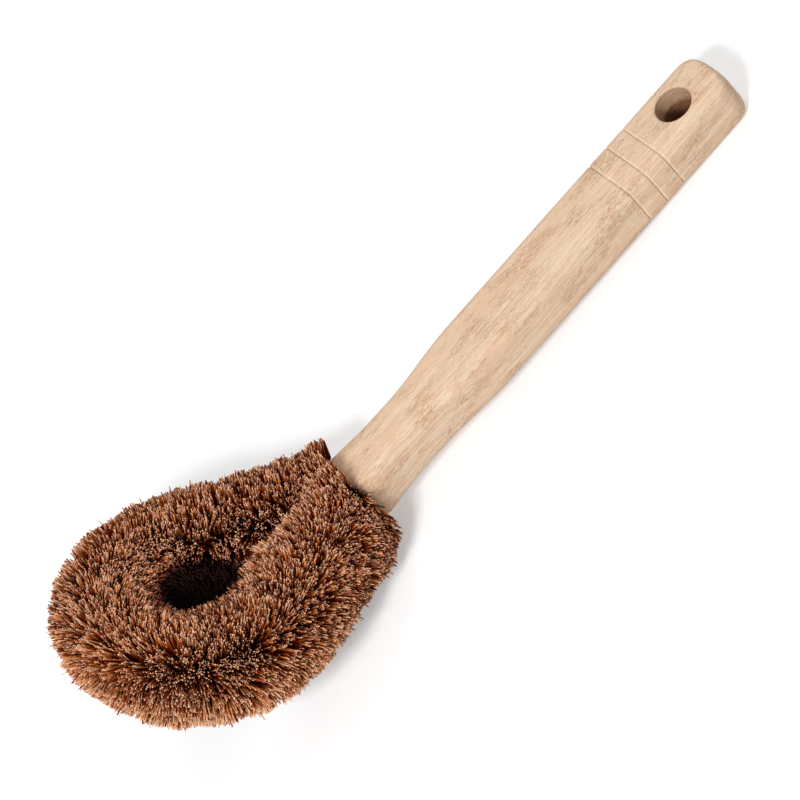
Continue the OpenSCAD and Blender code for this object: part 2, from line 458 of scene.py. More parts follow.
@dataclass(frozen=True)
class PaleWood:
    """Unfinished pale rubberwood: fine lengthwise streaks, short dark pores and warm patches.

    Attributes:
        light, middle, dark: the streaks' colours.
        warm: the colour of the warm patches and of torn wood.
        drift_grain, drift_reach: how the grain's lines stray, and how far, in millimetres.
        fine_grain, broad_grain, fine_share: the two sets of streaks, and the fine ones' share.
        streak_stops: where the streaks' three colours lie.
        patch_grain, patch_stops, patch_amount: the warm patches.
        vein, vein_grain, pale_stops, deep_stops: the long veins, paler and deeper than the rest.
        vein_tilt, vein_middle, vein_range: how much clearer they are at the front edge.
        pore, pore_grain, pore_edge, pore_amount: the short dark pores.
        crowd_grain, crowd_reach: where they stand close, and how long they are there.
        torn_grain, torn_stops, torn_most, torn_amount: the torn fibres.
        frayed_to, frayed_lift: how far from the mouth there are more of them, and how many.
        mouth_painted_light, mouth_painted_light_to, mouth_painted_light_amount: painted warm light
        on the wood at the mouth, which lifts the shadow of the pile there, how far it reaches, and
        how strong it is.
        fleck, fleck_grain, fleck_stops: the fine dark flecks all over.
        groove_painted_shade, groove_shift: painted shade in each groove's bottom, in the pores'
            colour, and its place from the middle.
        lip, lip_painted_highlight, lip_shift: the same for the painted highlight on its lip.
        broken_grain, broken_reach, broken_least: where both painted lines fade out, at random.
        bore_wall_tone: the darker colour of the hanging hole's whole wall.
            bore_painted_shade, bore_shade_from, bore_shade_run: painted shade further down the
            wall, where the rim shadows it, and the depth where it begins and over which it comes
            in.
        ragged_grain, ragged_by: how uneven the border between the two is.
        bore_margin: how far round the hole the wall's darker colour reaches.
        flaw, flaw_x, flaw_z: the small flaw on the waist, and where it lies.
        flaw_length, flaw_width, flaw_lean, flaw_amount: its form and its strength.
        relief, relief_height: the bump's strength, and its height in metres.
        fine_height, torn_height: how high streaks and torn fibres stand beside the pores.
        roughness, specular: the shader's own values.
    """

    light: Colour = (0.800, 0.608, 0.434)
    middle: Colour = (0.768, 0.549, 0.376)
    dark: Colour = (0.680, 0.448, 0.286)
    warm: Colour = (0.78, 0.515, 0.345)
    drift_grain: Figure = Figure(0.035, 0.10, 1.0, 0.5)
    drift_reach: float = 3.0
    fine_grain: Figure = Figure(0.11, 1.9, 4.0, 0.70)
    fine_share: float = 0.6
    streak_stops: tuple[float, float, float] = (0.36, 0.50, 0.62)
    broad_grain: Figure = Figure(0.022, 0.30, 2.0, 0.5)
    patch_grain: Figure = Figure(0.05, 0.10, 1.0, 0.5)
    patch_stops: Pair = (0.46, 0.66)
    patch_amount: float = 0.60
    vein: Colour = (0.86, 0.69, 0.52)
    vein_grain: Figure = Figure(0.018, 1.55, 1.0, 0.5)
    pale_stops: Pair = (0.54, 0.58)
    deep_stops: Pair = (0.40, 0.43)
    vein_tilt: float = -0.06
    vein_middle: float = 0.5
    vein_range: Pair = (0.10, 0.55)
    pore: Colour = (0.42, 0.235, 0.125)
    pore_grain: Pair = (0.42, 2.5)
    crowd_grain: Figure = Figure(0.055, 0.20, 2.0, 0.65)
    crowd_reach: Pair = (0.95, -0.26)
    pore_edge: float = 8.0
    pore_amount: float = 0.52
    frayed_to: float = 9.0
    frayed_lift: float = 2.2
    torn_grain: Figure = Figure(0.33, 1.35, 2.0, 0.6)
    torn_stops: Pair = (0.44, 0.58)
    torn_most: float = 1.5
    torn_amount: float = 0.36
    mouth_painted_light: Colour = (0.93, 0.60, 0.36)
    mouth_painted_light_to: float = 8.0
    mouth_painted_light_amount: float = 0.55
    fleck_grain: Figure = Figure(0.45, 3.4, 3.0, 0.75)
    fleck_stops: Pair = (0.36, 0.60)
    fleck: float = 0.85
    groove_painted_shade: float = 0.50
    groove_shift: float = -0.12
    lip: Colour = (0.93, 0.77, 0.60)
    lip_painted_highlight: float = 0.62
    lip_shift: float = 0.42
    broken_grain: Figure = Figure(0.8, 0.75, 2.0, 0.7)
    broken_reach: Pair = (3.2, -0.85)
    broken_least: float = 0.25
    bore_wall_tone: Colour = (0.80, 0.74, 0.70)
    bore_painted_shade: Colour = (0.33, 0.215, 0.16)
    bore_shade_from: float = 5.2
    bore_shade_run: float = 2.4
    ragged_grain: Figure = Figure(0.5, 0.5, 2.0, 0.6)
    ragged_by: float = 3.0
    bore_margin: float = 0.08
    flaw: Colour = (0.27, 0.13, 0.06)
    flaw_x: float = 33.3
    flaw_z: float = -3.4
    flaw_length: float = 1.3
    flaw_width: float = 0.42
    flaw_lean: float = 0.5
    flaw_amount: float = 0.85
    roughness: float = 0.62
    specular: float = 0.28
    relief: float = 0.60
    relief_height: float = 0.00024
    fine_height: float = 0.45
    torn_height: float = 1.1

    def build(self, place: HandleFrame, handle: "WoodenHandle") -> bpy.types.Material:
        """Builds the material.

        Args:
            place: the handle's frame, so that the grain runs along the handle.
            handle: the handle's sizes, for its hole and its grooves.

        Returns:
            The material.
        """
        material, n, shader = start_material("pale_rubberwood", self.roughness, self.specular)
        grain = Grain.along_handle(n, place)
        drift = n.math("MULTIPLY", grain.pattern(self.drift_grain), self.drift_reach)
        fine, colour = self.streaks(grain, drift)
        crowd = grain.pattern(self.crowd_grain)
        pore, colour = self.pores(grain, drift, crowd, colour)
        torn, colour = self.wear(grain, drift, crowd, colour)
        fleck = n.ramp(grain.pattern(self.fleck_grain, drift),
                       tuple(zip(self.fleck_stops, ((self.fleck,) * 3, WHITE))))
        colour = n.mix(1.0, colour, fleck, "MULTIPLY")
        colour = self.grooves(grain, handle, colour)
        colour = self.bore(grain, handle, colour)
        colour = n.mix(self.flaw_mask(grain), colour, self.flaw)
        n.link(colour, shader.inputs["Base Color"])

        height = n.math("SUBTRACT", n.math("MULTIPLY", fine, self.fine_height), pore)
        height = n.math("ADD", height, n.math("MULTIPLY", torn, self.torn_height))
        bump = n.add("ShaderNodeBump")
        bump.inputs["Strength"].default_value = self.relief
        bump.inputs["Distance"].default_value = self.relief_height
        n.link(height, bump.inputs["Height"])
        n.link(bump.outputs["Normal"], shader.inputs["Normal"])
        return material

    def streaks(self, grain: Grain, drift: Socket) -> tuple[Socket, Socket]:
        """Lays the lengthwise streaks, the warm patches, and the veins, clearest at the front.

        Args:
            grain: the wood's coordinates.
            drift: how far the grain's lines stray sideways.

        Returns:
            The finest streaks, and the wood's colour so far.
        """
        n = grain.nodes
        fine = grain.pattern(self.fine_grain, drift)
        broad = grain.pattern(self.broad_grain, drift)
        streak = n.math("ADD", n.math("MULTIPLY", fine, self.fine_share),
                        n.math("MULTIPLY", broad, 1.0 - self.fine_share))
        colours = (self.dark, self.middle, self.light)
        colour = n.ramp(streak, tuple(zip(self.streak_stops, colours)))
        patch = n.rise(grain.pattern(self.patch_grain), *self.patch_stops)
        colour = n.mix(n.math("MULTIPLY", patch, self.patch_amount), colour, self.warm)
        vein = grain.pattern(self.vein_grain, drift)
        front = n.math("MULTIPLY_ADD", grain.y, self.vein_tilt, self.vein_middle)
        front = n.clip(front, *self.vein_range)
        pale = n.math("MULTIPLY", n.rise(vein, *self.pale_stops), front)
        colour = n.mix(pale, colour, self.vein)
        deep = n.math("MULTIPLY", n.fall(vein, *self.deep_stops), front)
        return fine, n.mix(deep, colour, self.warm)

    def pores(self, grain: Grain, drift: Socket, crowd: Socket,
              colour: Socket) -> tuple[Socket, Socket]:
        """Adds the short dark pores.

        Args:
            grain: the wood's coordinates.
            drift: how far the grain's lines stray sideways.
            crowd: where the pores stand close together.
            colour: the wood's colour so far.

        Returns:
            The pores, and the colour with them.
        """
        n = grain.nodes
        dashes = n.add("ShaderNodeTexVoronoi")
        n.link(grain.stretched(*self.pore_grain, drift), dashes.inputs["Vector"])
        dashes.inputs["Scale"].default_value = 1.0
        reach = n.math("MULTIPLY_ADD", crowd, *self.crowd_reach)
        pore = n.math("SUBTRACT", reach, dashes.outputs["Distance"])
        pore = n.clip(n.math("MULTIPLY", pore, self.pore_edge), 0.0, 1.0)
        return pore, n.mix(n.math("MULTIPLY", pore, self.pore_amount), colour, self.pore)

    def wear(self, grain: Grain, drift: Socket, crowd: Socket,
             colour: Socket) -> tuple[Socket, Socket]:
        """Adds torn fibres, most of them at the mouth, and painted warm light on the wood there.

        Args:
            grain: the wood's coordinates.
            drift: how far the grain's lines stray sideways.
            crowd: where the wood is open and tears more.
            colour: the wood's colour so far.

        Returns:
            The torn places, and the colour with them.
        """
        n = grain.nodes
        frayed = n.math("MULTIPLY", self.near_mouth(grain, self.frayed_to), self.frayed_lift)
        open_wood = n.math("MAXIMUM", n.rise(crowd, *self.torn_stops), frayed)
        torn = n.rise(grain.pattern(self.torn_grain, drift), *self.torn_stops)
        torn = n.math("MINIMUM", n.math("MULTIPLY", open_wood, torn), self.torn_most)
        colour = n.mix(n.math("MULTIPLY", torn, self.torn_amount), colour, self.warm, "MULTIPLY")
        # Painted light: a warm lift at the mouth, against the shadow that the pile casts there.
        painted_lift = n.math("MULTIPLY", self.near_mouth(grain, self.mouth_painted_light_to), self.mouth_painted_light_amount)
        return torn, n.mix(painted_lift, colour, self.mouth_painted_light)

    @staticmethod
    def near_mouth(grain: Grain, reach: float) -> Socket:
        """A fade from 1 at the mouth to 0 at a reach from it."""
        n = grain.nodes
        return n.math("MAXIMUM", n.math("SUBTRACT", 1.0, n.math("DIVIDE", grain.x, reach)), 0.0)

    def grooves(self, grain: Grain, handle: "WoodenHandle", colour: Socket) -> Socket:
        """Paints shade into each groove's bottom and a highlight on its lip, both broken up in
        places.

        Args:
            grain: the wood's coordinates.
            handle: the handle's sizes.
            colour: the wood's colour so far.

        Returns:
            The colour with the grooves.
        """
        n = grain.nodes
        broken = n.math("MULTIPLY_ADD", grain.pattern(self.broken_grain), *self.broken_reach)
        broken = n.clip(broken, self.broken_least, 1.0)
        for i in range(handle.groove_count):
            middle = handle.groove_from + i * handle.groove_spacing
            # Painted shade in the groove's bottom, then a painted highlight on its lip.
            for shift, tone, amount in ((self.groove_shift, self.pore, self.groove_painted_shade),
                                        (self.lip_shift, self.lip, self.lip_painted_highlight)):
                off = n.math("ABSOLUTE", n.math("SUBTRACT", grain.x, middle + shift))
                line = n.math("SUBTRACT", 1.0, n.math("DIVIDE", off, handle.groove_width / 2))
                line = n.math("MULTIPLY", n.math("MAXIMUM", line, 0.0), amount)
                colour = n.mix(n.math("MULTIPLY", line, broken), colour, tone)
        return colour

    def bore(self, grain: Grain, handle: "WoodenHandle", colour: Socket) -> Socket:
        """Darkens the hanging hole's wall, and paints shade into it further down along a ragged
        border.

        Args:
            grain: the wood's coordinates.
            handle: the handle's sizes.
            colour: the wood's colour so far.

        Returns:
            The colour with the stained wall.
        """
        n = grain.nodes
        from_middle = n.math("SUBTRACT", grain.x, handle.hole_x)
        away = n.math("SQRT", n.math("ADD", n.math("POWER", from_middle, 2.0),
                                     n.math("POWER", grain.y, 2.0)))
        bored = n.math("LESS_THAN", away, handle.hole_radius + self.bore_margin)
        depth = n.math("SUBTRACT", handle.thickness / 2, grain.z)
        ragged = n.math("MULTIPLY_ADD", grain.pattern(self.ragged_grain),
                        self.ragged_by, -self.ragged_by / 2)
        # Painted shade: the wall darkens further down, where the hole's rim shadows it.
        low = n.math("SUBTRACT", n.math("ADD", depth, ragged), self.bore_shade_from)
        low = n.clip(n.math("DIVIDE", low, self.bore_shade_run), 0.0, 1.0)
        return n.mix(bored, colour, n.mix(low, self.bore_wall_tone, self.bore_painted_shade), "MULTIPLY")

    def flaw_mask(self, grain: Grain) -> Socket:
        """A short dark flaw in the wood on the front edge of the waist.

        Args:
            grain: the wood's coordinates.

        Returns:
            How dark it is at each place.
        """
        n = grain.nodes
        along = n.math("SUBTRACT", grain.x, self.flaw_x)
        aside = n.math("SUBTRACT", n.math("SUBTRACT", grain.z, self.flaw_z),
                       n.math("MULTIPLY", along, self.flaw_lean))
        a = n.math("POWER", n.math("DIVIDE", along, self.flaw_length), 2.0)
        b = n.math("POWER", n.math("DIVIDE", aside, self.flaw_width), 2.0)
        inside = n.clip(n.math("SUBTRACT", 1.0, n.math("ADD", a, b)), 0.0, 1.0)
        front = n.math("LESS_THAN", grain.y, 0.0)
        return n.math("MULTIPLY", n.math("MULTIPLY", inside, front), self.flaw_amount)


@dataclass(frozen=True)
class CoconutFibre:
    """Mixed browns of coir: each fibre has a tint, painted shade towards its root and a paler cut
    tip.

    Attributes:
        unlit, deep, red, brown, golden, straw: the colours from the darkest tint to the palest;
        unlit is reached only by the painted shade down in the loop's eye.
        stops: the tints at which they lie.
        painted_root_shade, root_run: the painted shade at a root, deep in the pile, and how fast it
            fades along the fibre.
        painted_root_hue: how much faster green and blue fade than red in that painted shade.
        cut_tip, cut_from, cut_gain, cut_paler: the pale cut end of the paler fibres.
        sheen: the colour of the gloss.
        roughness, specular: the shader's own values.
    """

    unlit: Colour = (0.034, 0.015, 0.013)
    deep: Colour = (0.065, 0.005, 0.000)
    red: Colour = (0.340, 0.048, 0.004)
    brown: Colour = (0.620, 0.170, 0.030)
    golden: Colour = (0.900, 0.380, 0.125)
    straw: Colour = (0.990, 0.620, 0.380)
    stops: tuple[float, ...] = (0.0, 0.06, 0.27, 0.50, 0.76, 1.0)
    painted_root_shade: float = 0.16
    root_run: float = 1.6
    painted_root_hue: Colour = (0.88, 1.45, 2.05)
    cut_tip: Colour = (0.990, 0.675, 0.485)
    cut_from: float = 0.90
    cut_gain: float = 5.0
    cut_paler: float = 1.6
    sheen: Colour = (1.0, 0.62, 0.42)
    roughness: float = 0.50
    specular: float = 0.03

    def build(self) -> bpy.types.Material:
        """Builds the material.

        Returns:
            The material, which reads each fibre's tint and the place along it.
        """
        material, n, shader = start_material("coconut_fibre", self.roughness, self.specular)
        tint = n.add("ShaderNodeAttribute", attribute_name="tint").outputs["Fac"]
        along = n.add("ShaderNodeAttribute", attribute_name="along").outputs["Fac"]
        browns = (self.unlit, self.deep, self.red, self.brown, self.golden, self.straw)
        colour = n.ramp(tint, tuple(zip(self.stops, browns)))
        # Painted shade: darker and redder towards the root, where the fibre lies deep in the pile.
        shade = n.math("MULTIPLY_ADD", n.math("POWER", along, self.root_run),
                       1.0 - self.painted_root_shade, self.painted_root_shade)
        painted_root_hue = n.add("ShaderNodeCombineXYZ")
        for socket, power in zip(painted_root_hue.inputs, self.painted_root_hue):
            n.link(n.math("POWER", shade, power), socket)
        colour = n.mix(1.0, colour, painted_root_hue.outputs[0], "MULTIPLY")
        cut = n.math("MAXIMUM", n.math("SUBTRACT", along, self.cut_from), 0.0)
        paler = n.math("MINIMUM", n.math("MULTIPLY", tint, self.cut_paler), 1.0)
        cut = n.math("MULTIPLY", n.math("MULTIPLY", cut, self.cut_gain), paler)
        n.link(n.mix(cut, colour, self.cut_tip), shader.inputs["Base Color"])
        shader.inputs["Specular Tint"].default_value = (*self.sheen, 1.0)
        return material


@dataclass(frozen=True)
class PlainFinish:
    """A finish of one even colour.

    Attributes:
        name: the material's name.
        colour: its colour.
        roughness: its roughness.
        specular: its specular level.
        metallic: 1 for bare metal and 0 for anything else.
    """

    name: str
    colour: Colour
    roughness: float
    specular: float
    metallic: float = 0.0

    def build(self) -> bpy.types.Material:
        """Builds the material.

        Returns:
            The material.
        """
        material, _, shader = start_material(self.name, self.roughness, self.specular)
        shader.inputs["Base Color"].default_value = (*self.colour, 1.0)
        shader.inputs["Metallic"].default_value = self.metallic
        return material


# The packed heart's near-black colour is painted shade deep among the fibre roots.
HEART_PAINTED_SHADE = PlainFinish("fibre_roots_painted_shade", (0.030, 0.012, 0.006), roughness=0.9, specular=0.1)
GALVANISED_WIRE = PlainFinish("galvanised_wire", (0.52, 0.53, 0.54), roughness=0.38,
                              specular=0.5, metallic=1.0)


@dataclass
class WoodenHandle:
    """The one-piece wooden handle: a long waist, three grooves, a hanging hole and a socket.

    Attributes:
        length, thickness: its whole length and its thickness.
        grip_width, waist_width, mouth_width: its width at the grip, the waist and the mouth.
        long_edge_radius: how round its four long edges are.
        waist_from, waist_stretch, waist_run: where the waist begins, and how far it runs before
            it swells, and how long the swell is.
        mouth_round, end_corner, end_round: how round the mouth is, and the free end seen from
            above and from the side.
        groove_from, groove_spacing, groove_count: the first groove's middle, and the others.
        groove_width, groove_depth: each groove's size.
        hole_radius, hole_from_end, hole_chamfer: the hanging hole.
        socket_radius, socket_depth: the wire's blind socket.
        cutter_reach, cutter_lead, cutter_sides: how far the cutting solids stand out, and how
            round they are.
        corner_least: what is left of a face's half width beside a rounded edge.
        sharp_from: the angle from which an edge looks sharp.
        end_steps, neck_steps, grip_from, grip_steps, corner_steps: how finely it is divided.
        groove_reach, groove_steps: the same across a groove, in groove widths.
    """

    length: float = 169.1
    grip_width: float = 22.7
    thickness: float = 17.7
    waist_width: float = 18.2
    mouth_width: float = 21.4
    long_edge_radius: float = 4.4
    waist_from: float = 19.7
    waist_stretch: float = 9.0
    waist_run: float = 28.0
    mouth_round: float = 3.7
    end_corner: float = 6.4
    end_round: float = 2.4
    groove_from: float = 122.3
    groove_spacing: float = 7.65
    groove_count: int = 3
    groove_width: float = 0.9
    groove_depth: float = 0.35
    hole_radius: float = 6.2
    hole_from_end: float = 16.6
    hole_chamfer: float = 0.4
    socket_radius: float = 4.45
    socket_depth: float = 42.0
    cutter_reach: float = 3.0
    cutter_lead: float = 1.0
    corner_least: float = 0.01
    sharp_from: float = math.radians(38.0)
    end_steps: int = 14
    neck_steps: int = 44
    grip_from: float = 60.0
    grip_steps: int = 12
    groove_reach: float = 0.55
    groove_steps: int = 13
    corner_steps: int = 12
    cutter_sides: int = 96

    @property
    def hole_x(self) -> float:
        """The hanging hole's distance from the mouth."""
        return self.length - self.hole_from_end

    def side_at(self, x: np.ndarray) -> np.ndarray:
        """Half the plan width, before the ends are rounded.

        Args:
            x: distances from the mouth.

        Returns:
            The half width at each.
        """
        waist, mouth, grip = self.waist_width / 2, self.mouth_width / 2, self.grip_width / 2
        swell_from = self.waist_from + self.waist_stretch
        near = mouth + (waist - mouth) * ease(x / self.waist_from)
        far = waist + (grip - waist) * ease((x - swell_from) / self.waist_run)
        return np.where(x < self.waist_from + self.waist_stretch / 2, near, far)

    @staticmethod
    def round_off(d: np.ndarray, r: float) -> np.ndarray:
        """What a rounded end of radius r takes off at a distance d in from its face."""
        c = np.clip(r - d, 0.0, r)
        return r - np.sqrt(np.maximum(0.0, r * r - c * c))

    def groove_at(self, x: np.ndarray) -> np.ndarray:
        """Depth of the grooves, which have a rounded bottom and soft lips.

        Args:
            x: distances from the mouth.

        Returns:
            The depth at each.
        """
        depth = np.zeros_like(x)
        for i in range(self.groove_count):
            t = np.abs(x - self.groove_from - i * self.groove_spacing) / (self.groove_width / 2)
            depth = np.maximum(depth, self.groove_depth * (1.0 - ease(t)))
        return depth

    def stations(self) -> np.ndarray:
        """Where the sections stand.

        Returns:
            Distances from the mouth, close together at the ends, the waist and the grooves.
        """
        quarter = np.linspace(0.0, math.pi / 2, self.end_steps)
        waist_to = self.waist_from + self.waist_stretch + self.waist_run
        parts = [
            self.mouth_round * (1.0 - np.cos(quarter)),
            np.linspace(self.mouth_round, waist_to, self.neck_steps)[1:],
            np.linspace(self.grip_from, self.groove_from - self.groove_width, self.grip_steps),
            self.length - self.end_corner * (1.0 - np.sin(quarter)),
        ]
        across = np.linspace(-self.groove_reach, self.groove_reach, self.groove_steps)
        for i in range(self.groove_count):
            middle = self.groove_from + i * self.groove_spacing
            parts.append(middle + across * self.groove_width)
        return np.unique(np.round(np.concatenate(parts), 4))

    def shell(self) -> tuple[np.ndarray, list]:
        """The handle's outer surface.

        Returns:
            Its points in millimetres, and its faces.
        """
        xs = self.stations()
        groove = self.groove_at(xs)
        a = self.side_at(xs) - self.round_off(xs, self.mouth_round) - groove
        a -= self.round_off(self.length - xs, self.end_corner)
        b = self.thickness / 2 - self.round_off(xs, self.mouth_round) - groove
        b -= self.round_off(self.length - xs, self.end_round)
        r = np.minimum(self.long_edge_radius, np.minimum(a, b) - self.corner_least)
        points = []
        for x, half_w, half_t, radius in zip(xs, a, b, r):
            for corner in range(4):
                sy = 1 if corner in (0, 3) else -1
                sz = 1 if corner < 2 else -1
                for i in range(self.corner_steps + 1):
                    g = math.radians(90.0 * (corner + i / self.corner_steps))
                    points.append((x, sy * (half_w - radius) + radius * math.cos(g),
                                   sz * (half_t - radius) + radius * math.sin(g)))
        return np.array(points), wrap_rings(len(xs), 4 * (self.corner_steps + 1))

    def cutter(self, name: str, profile: list, foot: tuple, upright: bool,
               place: HandleFrame) -> bpy.types.Object:
        """A turned solid to cut with.

        Args:
            name: its name.
            profile: (radius, height) pairs from one end to the other.
            foot: where its axis starts, in millimetres.
            upright: True for an axis along z, and False for one along x.
            place: the handle's frame.

        Returns:
            The cutter.
        """
        points = []
        for radius, height in profile:
            for j in range(self.cutter_sides):
                g = 2.0 * math.pi * j / self.cutter_sides
                u, v = radius * math.cos(g), radius * math.sin(g)
                local = (u, v, height) if upright else (height, u, v)
                points.append(tuple(m + c for m, c in zip(foot, local)))
        faces = wrap_rings(len(profile), self.cutter_sides)
        tool = new_mesh_object(name, place.place(np.array(points)), faces)
        outwards(tool.data)
        return tool

    def build(self, place: HandleFrame) -> bpy.types.Object:
        """Builds the handle with its hole and socket cut.

        Args:
            place: the handle's frame.

        Returns:
            The finished piece, undressed.
        """
        points, faces = self.shell()
        piece = new_mesh_object("wooden_handle", place.place(points), faces)
        outwards(piece.data)
        top, lip, reach = self.thickness / 2, self.hole_chamfer, self.cutter_reach
        wide = self.hole_radius + lip + reach
        tools = [
            self.cutter("hole_cutter", [
                (wide, -top - reach), (self.hole_radius, -top + lip),
                (self.hole_radius, top - lip), (wide, top + reach),
            ], (self.hole_x, 0.0, 0.0), True, place),
            self.cutter("socket_cutter", [
                (self.socket_radius, -self.cutter_lead), (self.socket_radius, self.socket_depth),
            ], (0.0, 0.0, 0.0), False, place),
        ]
        for tool in tools:
            cut = piece.modifiers.new(tool.name, "BOOLEAN")
            cut.operation = "DIFFERENCE"
            cut.solver = "EXACT"
            cut.object = tool
        settle(piece)
        for tool in tools:
            bpy.data.objects.remove(tool)
        piece.data.shade_smooth()
        piece.data.set_sharp_from_angle(angle=self.sharp_from)
        return piece


@dataclass(frozen=True)
class LoopPath:
    """The wire's centre line, along one arm from the handle's mouth to the loop's tip.

    A distance d runs along the wire. s runs forward along the middle of the loop and l across it.
    A place q runs along the front arm to the tip and back along the other arm.

    Attributes:
        arm_offset: from the middle of the brush to each arm in the mouth.
        parting, parting_radius: where the arms part, and how round they turn there.
        opening: the angle that each arm turns outwards.
        loop_radius: the big bend's radius.
        pitch, pitch_run: how far the loop is pitched up, and over what length.
        curl_radius: how it curls past that.
        fan_to: how far from the mouth the rings turn by degrees.
        pile_from: where the pile begins.
        steep_least: the least cosine that a ring's room is worked out with.
        open_room: the room of a ring that meets no other arm.
    """

    arm_offset: float = 2.7
    parting: float = 1.5
    parting_radius: float = 6.0
    opening: float = math.radians(26.4)
    loop_radius: float = 28.7
    pitch: float = math.radians(18.3)
    pitch_run: float = 20.0
    curl_radius: float = 510.0
    fan_to: float = 20.0
    pile_from: float = 0.4
    steep_least: float = 0.05
    open_room: float = 1e3

    @property
    def bend_middle(self) -> float:
        """Where the big bend's centre stands, forward of the mouth."""
        return self.parting + (
            self.loop_radius - self.arm_offset * math.cos(self.opening)) / math.sin(self.opening)

    @property
    def tangent(self) -> float:
        """The fillet's tangent length where the arms part."""
        return self.parting_radius * math.tan(self.opening / 2)

    @property
    def line_from(self) -> float:
        """Where the straight arm begins."""
        return self.parting - self.tangent + self.parting_radius * self.opening

    @property
    def bend_from(self) -> float:
        """Where the big bend begins."""
        length = (self.bend_middle - self.parting) * math.cos(self.opening)
        return self.line_from + length - self.arm_offset * math.sin(self.opening) - self.tangent

    @property
    def tip_at(self) -> float:
        """The distance at the loop's tip."""
        return self.bend_from + self.loop_radius * (math.pi / 2 + self.opening)

    def on_pile(self, q: np.ndarray) -> np.ndarray:
        """Keeps places between the pile's two ends."""
        return np.clip(q, self.pile_from, 2 * self.tip_at - self.pile_from)

    def plan(self, d: np.ndarray) -> tuple[np.ndarray, np.ndarray, np.ndarray]:
        """The line in the loop's own plane.

        Args:
            d: distances from the mouth along the wire.

        Returns:
            s, l and the heading there.
        """
        fillet = self.parting - self.tangent
        a = np.clip((d - fillet) / self.parting_radius, 0.0, self.opening)
        t = d - self.line_from + self.tangent
        b = (d - self.bend_from) / self.loop_radius
        g = math.pi / 2 + self.opening - b
        zones = [d <= fillet, d <= self.line_from, d <= self.bend_from]
        s = np.select(zones, [d, fillet + self.parting_radius * np.sin(a),
                              self.parting + t * math.cos(self.opening)],
                      self.bend_middle + self.loop_radius * np.cos(g))
        l = np.select(zones, [np.full_like(d, self.arm_offset),
                              self.arm_offset + self.parting_radius * (1 - np.cos(a)),
                              self.arm_offset + t * math.sin(self.opening)],
                      self.loop_radius * np.sin(g))
        yaw = np.select(zones, [np.zeros_like(d), a, np.full_like(d, self.opening)],
                        self.opening - b)
        return s, l, yaw

    def spine(self, s: np.ndarray) -> tuple[np.ndarray, np.ndarray, np.ndarray]:
        """How the loop's plane is pitched up and curled.

        Args:
            s: distances forward along the middle of the loop.

        Returns:
            Forward reach, height and slope there.
        """
        ramp = self.pitch_run / self.pitch
        on_ramp = s <= self.pitch_run
        slope = np.where(on_ramp, self.pitch * np.clip(s, 0, None) / self.pitch_run,
                         self.pitch + (s - self.pitch_run) / self.curl_radius)
        u = np.where(on_ramp, ramp * np.sin(slope), ramp * math.sin(self.pitch)
                     + self.curl_radius * (np.sin(slope) - math.sin(self.pitch)))
        w = np.where(on_ramp, ramp * (1 - np.cos(slope)), ramp * (1 - math.cos(self.pitch))
                     + self.curl_radius * (math.cos(self.pitch) - np.cos(slope)))
        return np.where(s <= 0, s, u), np.where(s <= 0, 0.0, w), slope

    def rings(self, q: np.ndarray) -> tuple[np.ndarray, np.ndarray, np.ndarray, np.ndarray]:
        """The pile's rings.

        Args:
            q: places along the loop.

        Returns:
            Centres, inward directions, upward directions, and each ring's room to the seam.
        """
        front = q <= self.tip_at
        d = np.where(front, q, 2 * self.tip_at - q)
        side = np.where(front, 1.0, -1.0)
        s, l, yaw = self.plan(d)
        u, w, slope = self.spine(s)
        fanned = self.opening * np.clip(d - self.pile_from, 0, None)
        yaw = np.where(d < self.fan_to, fanned / (self.fan_to - self.pile_from), yaw)
        centre = np.stack([-u, -side * l, w], 1)
        inward = np.stack([-np.sin(yaw) * np.cos(slope), side * np.cos(yaw),
                           np.sin(yaw) * np.sin(slope)], 1)
        upward = np.stack([np.sin(slope), np.zeros_like(slope), np.cos(slope)], 1)
        steep = np.maximum(np.cos(yaw), self.steep_least)
        room = np.where(d < self.bend_from, l / steep, self.open_room)
        return centre, inward, upward, room


@dataclass
class FibreCloud:
    """Where a stretch of fibres stand: one entry for each fibre, in millimetres.

    Attributes:
        roots: where they leave the heart.
        tips: where they end.
        tints: their tints, from 0 to 1.
        girths: their thicknesses, 1 being the usual one.
    """

    roots: np.ndarray
    tips: np.ndarray
    tints: np.ndarray
    girths: np.ndarray


